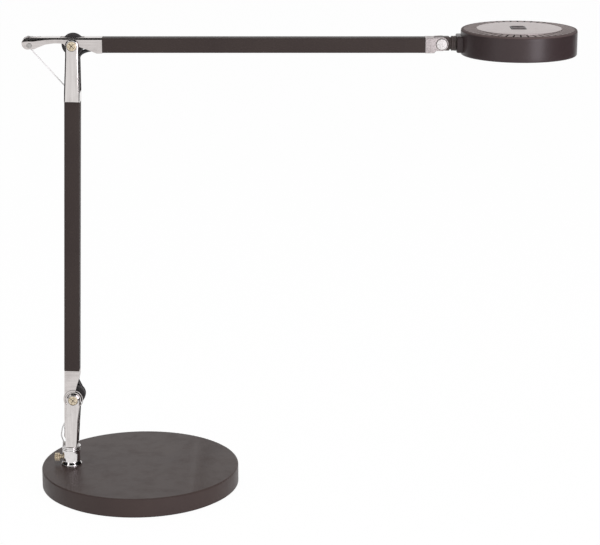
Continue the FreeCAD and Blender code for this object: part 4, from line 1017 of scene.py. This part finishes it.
def lever_section(x, low, high, bend):
    """Points of the folded channel at x, from one lower edge over the web to the other."""
    tight = min(bend, (high - low) * 0.45)
    straight = (low + high - tight) / 2
    loop = [(x, -LEVER_SIDE, low), (x, -LEVER_SIDE, straight)]
    for side, web in ((-1, (-WEB_HALF, 0.0, WIRE_WINDOW[2], WEB_HALF)), (1, ())):
        for step in range(7):
            turn = math.radians((180 if side < 0 else 90) - 90 * step / 6)
            y = side * (LEVER_SIDE - tight) + tight * math.cos(turn)
            loop.append((x, y, high - tight + tight * math.sin(turn)))
        loop += [(x, y, high) for y in web]
    return loop + [(x, LEVER_SIDE, straight), (x, LEVER_SIDE, low)]


def lever(name, tail, offset, start, place, body, replaced, slots):
    """Channel folded from sheet: side plates, a web with soft bends, and the web drawn round the nose."""
    top = offset + LEVER_HEIGHT / 2
    loops = []
    for x, low, high in lever_stations(tail, offset, start):
        to_nose = min(max((-tail / 2 - x) / (tail / 2 - 8.0), 0.0), 1.0)
        loops.append(lever_section(x, low, high, 3.1 + 3.0 * to_nose**2))
    bm = bmesh.new()
    skin(bm, loops, closed=False)
    gone = []
    for face in bm.faces:
        middle = face.calc_center_median()
        inside = [x0 < middle.x < x1 and y0 < middle.y < y1 for x0, x1, y0, y1 in slots]
        if middle.z >= top - 0.3 and any(inside):
            gone.append(face)
    bmesh.ops.delete(bm, geom=gone, context="FACES")
    made = piece(name, bm, place, lever_chrome, body, [replaced], "chrome", crease=50.0)
    shell = made.modifiers.new("sheet", "SOLIDIFY")
    shell.thickness = SHEET * MM
    shell.offset = -1.0
    shell.use_even_offset = False
    rims = made.modifiers.new("rims", "BEVEL")
    rims.width = 0.3 * MM
    rims.segments = 2
    rims.limit_method = "ANGLE"
    rims.angle_limit = math.radians(55)


def square_tube(name, span, offset, width, place, body, replaced):
    """Drawn square tube with rounded edges and open ends."""
    lip = 0.25
    outer = round_section(TUBE, width, 1.8, 6)
    inner = round_section(TUBE - 2 * TUBE_WALL, width - 2 * TUBE_WALL, 0.5, 6)

    def loop(points, x, shrink=0.0):
        scale = 1 - shrink / (TUBE / 2)
        return [(x, a * scale, offset + b * scale) for a, b in points]

    start, end = span
    loops = [loop(inner, start), loop(outer, start, lip), loop(outer, start + lip)]
    loops += [loop(outer, start + (end - start) * share) for share in (0.25, 0.5, 0.75)]
    loops += [loop(outer, end - lip), loop(outer, end, lip), loop(inner, end), loop(inner, start)]
    bm = bmesh.new()
    skin(bm, loops)
    piece(name, bm, place, tube_enamel, body, [replaced], "tube_paint", crease=40.0)


def lever_boss(name, place, body):
    """Two raised rings round the pivot on both sides of a lever."""
    foot, shoulder, face = 7.9, 8.3, 8.55
    bm = bmesh.new()
    for side in (-1, 1):
        for inner, outer in BOSS_RINGS:
            ring = [(inner, foot), (outer, foot), (outer, shoulder), (outer - 0.3, face), (inner, face)]
            turned(bm, ring + ring[:1], "Y", 72, side=side)
    piece(name, bm, place, lever_chrome, body, [], "chrome")


def elbow_fork():
    """Square sleeve on the lower tube that opens into two cheeks with rolled edges."""
    end = LOWER_TUBE[1]
    neck = LOWER_LENGTH - 12.0
    low, high = LOWER_OFFSET - LOWER_WIDTH / 2, LOWER_OFFSET + LOWER_WIDTH / 2
    outline = [(end, high), (end, low), (end + 10, low), (neck, LOWER_OFFSET - 7.3)]
    outline += arc((LOWER_LENGTH, LOWER_OFFSET), EYE, -88, 88, 28)
    outline += [(neck, LOWER_OFFSET + 7.3), (end + 10, high)]
    bm = bmesh.new()
    rolled_cheeks(bm, outline)
    side = CHEEK_INNER + 0.3
    sleeve = (
        (end + SHEET, low + 0.3, high - 0.3),
        (end + 10.8, low, low + TUBE_WALL),
        (end + 4.0, high - SHEET, high),
    )
    for far, z0, z1 in sleeve:
        box_between(bm, (end + 0.05, -side, z0), (far, side, z1))
    body, replaced, slot = "lower_arm", ["elbow_fork"], "chrome"
    piece("elbow_fork_pressed", bm, LOWER, fork_chrome, body, replaced, slot, crease=28.0)


def nose_rivet(name, tail, place, body, replaced):
    """Rivet through the nose with the grooved bush of the wire on it."""
    face = LEVER_SIDE
    centre = (-tail, 0, 0)
    rivet = [(0.0, face - 0.2), (2.8, face - 0.2), (2.8, face + 0.25), (2.45, face + 0.7)]
    rivet += [(1.5, face + 0.8), (1.2, face + 0.45), (0.0, face + 0.4)]
    bush = [(1.5, -1.5), (3.6, -1.5), (3.8, -1.3), (3.8, -1.0), (2.85, -0.6)]
    bush += [(r, -h) for r, h in reversed(bush)]
    bm = bmesh.new()
    for side in (-1, 1):
        turned(bm, rivet, "Y", 48, centre, side)
    shaft(bm, 1.45, face, 24, centre)
    turned(bm, [(r, WIRE_SIDE + h) for r, h in bush], "Y", 48, centre)
    piece(name, bm, place, bright_steel, body, [replaced], "steel")


lever_boss("shoulder_boss_ring", SHOULDER_PIVOT, "lower_arm")
lever(
    "lower_lever_folded", LOWER_TAIL, LOWER_OFFSET, LOWER_TUBE[0], LOWER,
    "lower_arm", "lower_lever", [SHOULDER_SLOT, WIRE_WINDOW],
)
lever(
    "upper_lever_folded", UPPER_TAIL, 0.0, UPPER_TUBE[0], UPPER,
    "upper_arm", "upper_lever", [DISC_SLOT],
)
square_tube("lower_tube_drawn", LOWER_TUBE, LOWER_OFFSET, LOWER_WIDTH, LOWER, "lower_arm", "lower_tube")
square_tube("upper_tube_drawn", UPPER_TUBE, 0.0, TUBE, UPPER, "upper_arm", "upper_tube")
elbow_fork()
nose_rivet("lower_nose_rivet", LOWER_TAIL, LOWER, "lower_arm", "lower_nose_bush")
nose_rivet("upper_nose_rivet", UPPER_TAIL, UPPER, "upper_arm", "upper_nose_bush")

# ---------------------------------------------------------------- springs, wires and cables

HOOK = Vector((HOOK_START, WIRE_SIDE, WIRE_OFFSET))
SHEATH = (cable_sheath, "cable_black")


def on_post(x, z, y=0.0):
    """Point of the object's frame in the post's pivot frame."""
    return Vector((x - SHOULDER[0], y, z - SHOULDER[1]))


def from_lower(x, z, y=0.0):
    """Point of the lower arm's frame, in the post's pivot frame."""
    place = (LOWER @ Vector((x, y, z))) / MM
    return on_post(place.x, place.z, y)


def coil_points(start, length, radius, turns, per_turn=8):
    """Helix about a line along +X."""
    points = []
    count = turns * per_turn
    for index in range(count + 1):
        turn = 2 * math.pi * index / per_turn
        along = start[0] + length * index / count
        points.append((along, start[1] + radius * math.cos(turn), start[2] + radius * math.sin(turn)))
    return points


def spring(name, place, replaced):
    """Close-wound tension spring between its hook and its pin, made as one fixed coil."""
    coil_radius, turns, wire = 1.95, 90, 0.45
    first = HOOK_START + HOOK_LENGTH
    points = coil_points((first, WIRE_SIDE, WIRE_OFFSET), SPRING_LENGTH, coil_radius, turns)
    made = cord(name, points, wire, place, spring_steel, 2, 1)
    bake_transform(made)
    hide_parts(replaced)


def stretched(name, points, radius, place, bodies, replaced, material, slot="steel", ends=None):
    """Wire or cable along points, made as one fixed mesh; it hides the part it replaces."""
    made = cord(name, points, radius, place, material)
    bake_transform(made)
    if replaced:
        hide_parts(replaced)


def elbow_wires():
    """Wire from the upper hook over the nose's bush and down to the pin in the fork."""
    nose = Vector((-UPPER_TAIL, WIRE_SIDE, 0))
    toward = math.radians(270) - LEAN - ANCHOR_ANGLE
    pin = Vector((UPPER_TAIL * math.cos(toward), WIRE_SIDE, UPPER_TAIL * math.sin(toward)))
    direction = (pin - nose).normalized()
    side = Vector((direction.z, 0, -direction.x))
    down = between(nose + side * WIRE_OFFSET, pin + side * WIRE_OFFSET)
    bodies = ("wire_swing", "wire_sleeve")
    stretched("elbow_wire_strand", down, WIRE_RADIUS, UPPER, bodies, "elbow_wire", pale_wire)

    on_nose = Vector((-UPPER_TAIL, WIRE_SIDE, WIRE_OFFSET))
    level = between(on_nose, HOOK)
    bodies = ("upper_arm", "upper_hook")
    stretched("upper_wire_strand", level, WIRE_RADIUS, UPPER, bodies, "upper_inner_wire", bright_steel)

    wrap = math.atan2(-side.x, side.z)
    turns = [wrap * index / 12 for index in range(13)]
    around = [nose + Vector((-math.sin(turn), 0, math.cos(turn))) * WIRE_OFFSET for turn in turns]
    bodies = ("upper_arm", "wire_swing")
    stretched("upper_wire_on_bush", around, WIRE_RADIUS, UPPER, bodies, None, bright_steel)


def shoulder_wires():
    """Wire from the lower hook to where it bends, and on through the web down to the lug."""
    bend_end = (-12.0, WIRE_OFFSET)
    level = between((bend_end[0], WIRE_SIDE, bend_end[1]), HOOK)
    bodies = ("lower_arm", "lower_hook")
    stretched("lower_wire_strand", level, WIRE_RADIUS, LOWER, bodies, "lower_inner_wire", bright_steel)

    lug = SHOULDER[0] + FORK_LEFT - ANCHOR_LENGTH
    foot = COLLAR_TOP + ANCHOR_HEIGHT
    route = [on_post(lug + 1.2, foot, WIRE_SIDE), on_post(lug - 1.7, foot + 6, WIRE_SIDE)]
    in_lever = ((-41.0, 14.4), (-35.5, 12.9), (-28.5, 9.2), (-20.0, WIRE_OFFSET + 0.8), bend_end)
    route += [from_lower(x, z, WIRE_SIDE) for x, z in in_lever]
    details = (SHOULDER_PIVOT, ("post", "lower_arm"), "shoulder_wire", pale_wire)
    stretched("shoulder_wire_strand", route, WIRE_RADIUS, *details)


def cable_loops():
    """Cable past the shoulder and past the elbow; level is its height in the tube."""
    level = LOWER_OFFSET - 4.6
    past_wheel = (
        (1.6, 0, -LOWER_TAIL), (0.8, 0, -28), (1.2, 0, -14), (5.2, 0, -4.5),
        (9.8, 0, 0.5), (10.6, 0, 7.0), (7.4, 0, 14.5),
    )
    route = [on_post(POST_X, COLLAR_BOTTOM - 18), on_post(POST_X, COLLAR_BOTTOM - 5)]
    route += [Vector((1.6, 0, BRIDGE_TOP + 4.7 - SHOULDER[1])), *past_wheel]
    route += [from_lower(22.9, level), from_lower(32.9, level)]
    ends = (on_post(SHOULDER[0], SHOULDER[1] - 24), from_lower(24.0, 0.0))
    details = (SHOULDER_PIVOT, ("post", "lower_arm"), "cable_shoulder", *SHEATH, ends)
    stretched("cable_shoulder_loop", route, CABLE_RADIUS, *details)

    start = LOWER_TUBE[1]
    route = [Vector((start, 0, level)), Vector((start + 14, 0, level))]
    into_upper = ((3.6, 0, -30), (4.6, 0, -17), (7.6, 0, -8.6), (20.5, 0, -4.6), (32.0, 0, -4.6))
    route += [LOWER.inverted() @ (UPPER @ Vector(point)) for point in into_upper]
    ends = ((LOWER_LENGTH - 30, 0, level - 2), route[-2])
    details = (LOWER, ("lower_arm", "upper_arm"), "cable_elbow", *SHEATH, ends)
    stretched("cable_elbow_loop", route, CABLE_RADIUS, *details)


spring("lower_spring_coil", LOWER, "lower_spring")
spring("upper_spring_coil", UPPER, "upper_spring")
elbow_wires()
shoulder_wires()
cable_loops()

# ---------------------------------------------------------------- end bracket and tilt joint


def end_bracket():
    """Cast block in the tube's end with two ears round the tilt bolt."""
    ear_inner = 4.8
    start = UPPER_TUBE[1] - UPPER_LENGTH
    end = start + 9.4
    low, high = -TILT_RISE - 8.2, -TILT_RISE + 8.2
    outline = [(start, low), (start, high), (end, high), (end + 2.4, EAR - 0.2)]
    outline += arc((0, 0), EAR, 95, -95, 30)
    outline += [(end + 2.4, -EAR), (end, low)]
    bm = bmesh.new()
    for side in (-1, 1):
        plate(bm, outline, side * EAR_FACE, side * ear_inner, 0.7, 0.7, 4)
    box_between(bm, (start, -ear_inner - 0.1, low), (end, ear_inner + 0.1, high))
    body, replaced, slot = "upper_arm", ["end_bracket"], "bracket_metal"
    piece("end_bracket_cast", bm, HEAD, satin_bracket, body, replaced, slot, crease=30.0)


def tilt_hardware():
    """Domed bolt head with a thin dark ring round it, painted shade of the gap, and its nut behind."""
    face = EAR_FACE
    dome = [(0.0, face), (5.7, face), (5.9, face + 0.3), (5.9, face + 0.8), (5.4, face + 1.3)]
    dome += [(2.6, face + 1.4), (0.0, face + 1.45)]
    # Thin dark ring in front of the ear: painted shade standing for the gap round the bolt head.
    shade_ring = [(5.5, -face), (6.35, -face), (6.35, -face - 0.06), (5.5, -face - 0.06), (5.5, -face)]
    bm = bmesh.new()
    turned(bm, dome, "Y", 56, side=-1)
    shaft(bm, 2.0, face, 24)
    piece("tilt_bolt_head", bm, HEAD, bolt_zinc, "upper_arm", ["tilt_bolt"], "steel")
    turned_piece("tilt_bolt_shade_ring", shade_ring, "Y", 56, HEAD, recess_shade, "upper_arm", [], "steel")
    turned_piece("tilt_nut_cap", dome, "Y", 56, HEAD, turned_chrome, "upper_arm", ["tilt_nut"], "steel")


def head_knuckle():
    """Moulded tongue between the ears, with its bearing disc and barrel."""
    half = 4.65
    disc = [(0.0, 7.9), (6.3, 7.9), (6.8, 8.3), (6.8, 9.5), (6.4, 9.9), (4.6, 9.95), (4.6, 18.6)]
    disc += [(4.2, 18.9), (0.0, 18.9)]
    bm = bmesh.new()
    plate(bm, arc((0, 0), EAR, 90, 270, 24) + [(8.2, -EAR), (8.2, EAR)], -half, half)
    turned(bm, disc, "X", 56)
    body, replaced, slot = "knuckle", ["head_knuckle"], "black_plastic"
    piece("head_knuckle_moulded", bm, HEAD, neck_mould, body, replaced, slot, edge=0.3)


def head_neck():
    """Ring with a groove, between the knuckle and the head."""
    start = NECK_START
    end = start + NECK_LENGTH
    profile = [(4.66, start), (7.3, start), (8.0, start + 0.6), (8.0, start + 1.8)]
    profile += [(7.6, start + 2.1), (7.6, start + 2.6), (8.0, start + 2.9)]
    profile += [(8.0, end - 0.5), (7.6, end), (4.66, end), (4.66, start)]
    details = (HEAD, neck_mould, "head", ["head_neck"], "black_plastic")
    turned_piece("head_neck_ring", profile, "X", 64, *details)


def head_collar():
    """Block that fairs the neck into the round housing."""
    start = NECK_START + NECK_LENGTH
    shoulder = round_section(26.0, 17.8, 2.4, 5)
    loops = []
    for x, share in ((start, 0.93), (start + 0.5, 0.98), (start + 1.2, 1.0)):
        loops.append([(x, a * share, b * share) for a, b in shoulder])
    loops.append([(HEAD_CENTRE - math.sqrt((HEAD_RADIUS - 0.4) ** 2 - a * a), a, b) for a, b in shoulder])
    bm = bmesh.new()
    skin(bm, loops, True)
    body, replaced, slot = "head", ["head_collar"], "black_plastic"
    piece("head_collar_block", bm, HEAD, head_enamel, body, replaced, slot, crease=40.0)


def head_lead():
    """Thin lead from the upper tube over the tilt bolt and through the neck."""
    level = 3.8
    route = [(-18, 0, level - 0.2), (-8.5, 0, level), (3.2, 0, level), (8.6, 0, 0.1), (17, 0, 0)]
    route.append((HEAD_CENTRE - HEAD_RADIUS + 8, 0, 0.3))
    details = (HEAD, ("upper_arm", "knuckle"), "head_lead", *SHEATH, ((-5, 0, 2), (8, 0, 0)))
    stretched("head_lead_thin", route, HEAD_LEAD_RADIUS, *details)


end_bracket()
tilt_hardware()
head_knuckle()
head_neck()
head_collar()
head_lead()

# ---------------------------------------------------------------- head


def head_housing():
    """Shell of the head: an outer wall with an inward rim below and a step for the vent rim."""
    r = HEAD_RADIUS
    low, floor, rim = HEAD_BOTTOM, HEAD_BOTTOM + 2.2, 54.5
    top = HEAD_TOP - 2.0
    profile = [(rim, low + 0.2), (rim + 0.4, low)]
    profile += soft_line([(56.0, low), (r, low), (r, low + 6)], 1.5, 6)
    profile += soft_line([(r, top - 2), (r, top), (r - 0.9, top)], 0.35, 3)
    profile += [(r - 1.8, top), (r - 1.8, floor), (rim, floor), (rim, low + 0.2)]
    details = (HEAD_AXIS, head_enamel, "head", ["head_housing"], "head_paint")
    turned_piece("head_housing_shell", profile, "Z", 160, *details, crease=40.0)


def vent_rim():
    """Dark ring beside the plate, with radial slots whose inner faces carry painted shade in black, and a matt
    outer lip.
    """
    plain, lip, slot = 0, 1, 2
    top, low = HEAD_TOP, HEAD_TOP - 7.0
    step_top = HEAD_TOP - 2.0
    outer, inner = HEAD_RADIUS - 0.3, HEAD_RADIUS - 1.95
    profile = [(PLATE_RADIUS, low), (PLATE_RADIUS, top), (RIM_SLOT_START, top), (RIM_SLOT_END, top)]
    profile += [(outer - 1.4, top), (outer - 0.7, top - 0.2), (outer - 0.15, top - 0.75)]
    profile += [(outer, top - 1.4), (outer, step_top), (inner, step_top), (inner, low)]
    profile.append(profile[0])
    bm = bmesh.new()
    turned(bm, profile, "Z", RIM_RIBS * RIM_STEPS_PER_RIB)
    pitch = 360 / RIM_RIBS
    slots = []
    for face in bm.faces:
        middle = face.calc_center_median()
        radius = math.hypot(middle.x, middle.y)
        face.material_index = lip if radius > RIM_SLOT_END else plain
        off_slot = (math.degrees(math.atan2(middle.y, middle.x)) + pitch / 2) % pitch - pitch / 2
        on_top = abs(middle.z - top) <= 0.01 and RIM_SLOT_START < radius < RIM_SLOT_END
        if on_top and abs(off_slot) < pitch / 8:
            slots.append(face)
    cut = bmesh.ops.extrude_face_region(bm, geom=slots)
    sunk = [item for item in cut["geom"] if isinstance(item, bmesh.types.BMVert)]
    bmesh.ops.translate(bm, verts=sunk, vec=(0, 0, -RIM_SLOT_DEPTH))
    bmesh.ops.delete(bm, geom=slots, context="FACES")
    # The slots' inner faces get the black moulding as painted shade in the slots.
    for face in bm.faces:
        middle = face.calc_center_median()
        radius = math.hypot(middle.x, middle.y)
        if middle.z < top - 0.1 and RIM_SLOT_START - 0.1 < radius < RIM_SLOT_END + 0.1:
            face.material_index = slot
    body, replaced, finish_slot = "head", ["vent_rim"], "head_paint"
    made = piece("vent_rim_ribbed", bm, HEAD_AXIS, rib_mould, body, replaced, finish_slot, crease=30.0)
    made.data.materials.append(rim_matt)
    # Third slot: black moulding, painted shade on the slots' inner faces.
    made.data.materials.append(black_mould)


def top_plate():
    """Satin plate with a softened rim and a window for the keys."""
    r = PLATE_RADIUS - 0.25
    window = [(KEY_X + a, b) for a, b in round_section(16.6, 21.0, 1.1, 10)]
    fine = []
    for (a0, b0), (a1, b1) in zip(window, window[1:] + window[:1]):
        parts = 6 if math.hypot(a1 - a0, b1 - b0) > 4 else 1
        fine += [(a0 + (a1 - a0) * k / parts, b0 + (b1 - b0) * k / parts) for k in range(parts)]
    first_turn = math.atan2(fine[0][1], fine[0][0])
    turns = [first_turn + 2 * math.pi * k / len(fine) for k in range(len(fine))]
    top, low = PLATE_TOP, PLATE_TOP - 3.0
    loops = [[(a * scale, b * scale, z) for a, b in fine] for scale, z in ((1, low), (1, top - 0.15), (1.01, top))]
    for radius, z in ((r * 0.55, top), (r - 0.6, top), (r - 0.18, top - 0.14), (r, top - 0.5), (r, low)):
        loops.append([(radius * math.cos(turn), radius * math.sin(turn), z) for turn in turns])
    skirt = HEAD_TOP - 7.0
    bm = bmesh.new()
    skin(bm, loops)
    turned(bm, [(r, low), (r, skirt), (r - 3, skirt), (r - 3, low)])
    body, replaced, slot = "head", ["top_plate"], "plate_metal"
    piece("top_plate_satin", bm, HEAD_AXIS, plate_satin, body, replaced, slot, crease=25.0)


def key_panel():
    """Dark block under the two keys, seen round their edges."""
    outer = round_section(16.4, 20.8, 1.0, 5)
    bm = bmesh.new()
    skin(bm, [[(KEY_X + a, b, z) for a, b in outer] for z in (PLATE_TOP - 4.2, PLATE_TOP + 0.5)], True)
    body, replaced, slot = "head", ["key_panel"], "black_plastic"
    piece("key_panel_frame", bm, HEAD_AXIS, black_mould, body, replaced, slot, edge=0.25)


def key(name, y, body, replaced, material):
    """Key cap with a dished top and a small raised line."""
    x = KEY_X
    top = PLATE_TOP + 1.0
    rim = round_section(13.0, 8.0, 0.9, 5)
    steps = ((1.0, 1.1), (1.0, 0.3), (0.97, 0.05), (0.93, 0), (0.86, 0.06), (0.6, 0.22), (0.2, 0.26))
    bm = bmesh.new()
    skin(bm, [[(x + a * scale, y + b * scale, top - drop) for a, b in rim] for scale, drop in steps], True)
    box_between(bm, (x - 1.8, y - 0.3, top - 0.4), (x + 1.8, y + 0.3, top - 0.1))
    piece(name, bm, HEAD_AXIS, material, body, [replaced], "black_plastic", crease=30.0)


def diffuser():
    """Opal disc with a stepped rim and rings of fine prisms underneath."""
    rings, pitch, prism = 26, 2.0, 0.22
    low = HEAD_BOTTOM + 0.8
    profile = [(0.0, low)]
    for ring in range(1, rings + 1):
        profile += [(ring * pitch - 1.0, low - prism), (ring * pitch, low)]
    profile += [(54.2, low), (54.2, low + 1.4), (56.0, low + 1.4), (56.0, low + 3.4), (0.0, low + 3.4)]
    details = (HEAD_AXIS, opal_diffuser, "head", ["diffuser"], "diffuser_white")
    turned_piece("diffuser_prismatic", profile, "Z", 120, *details, crease=60.0)


head_housing()
vent_rim()
top_plate()
key_panel()
key("key_power_cap", -4.9, "power_key", "key_power", key_mould)
key("key_dimmer_cap", 4.9, "dimmer_key", "key_dimmer", key_dark)
diffuser()
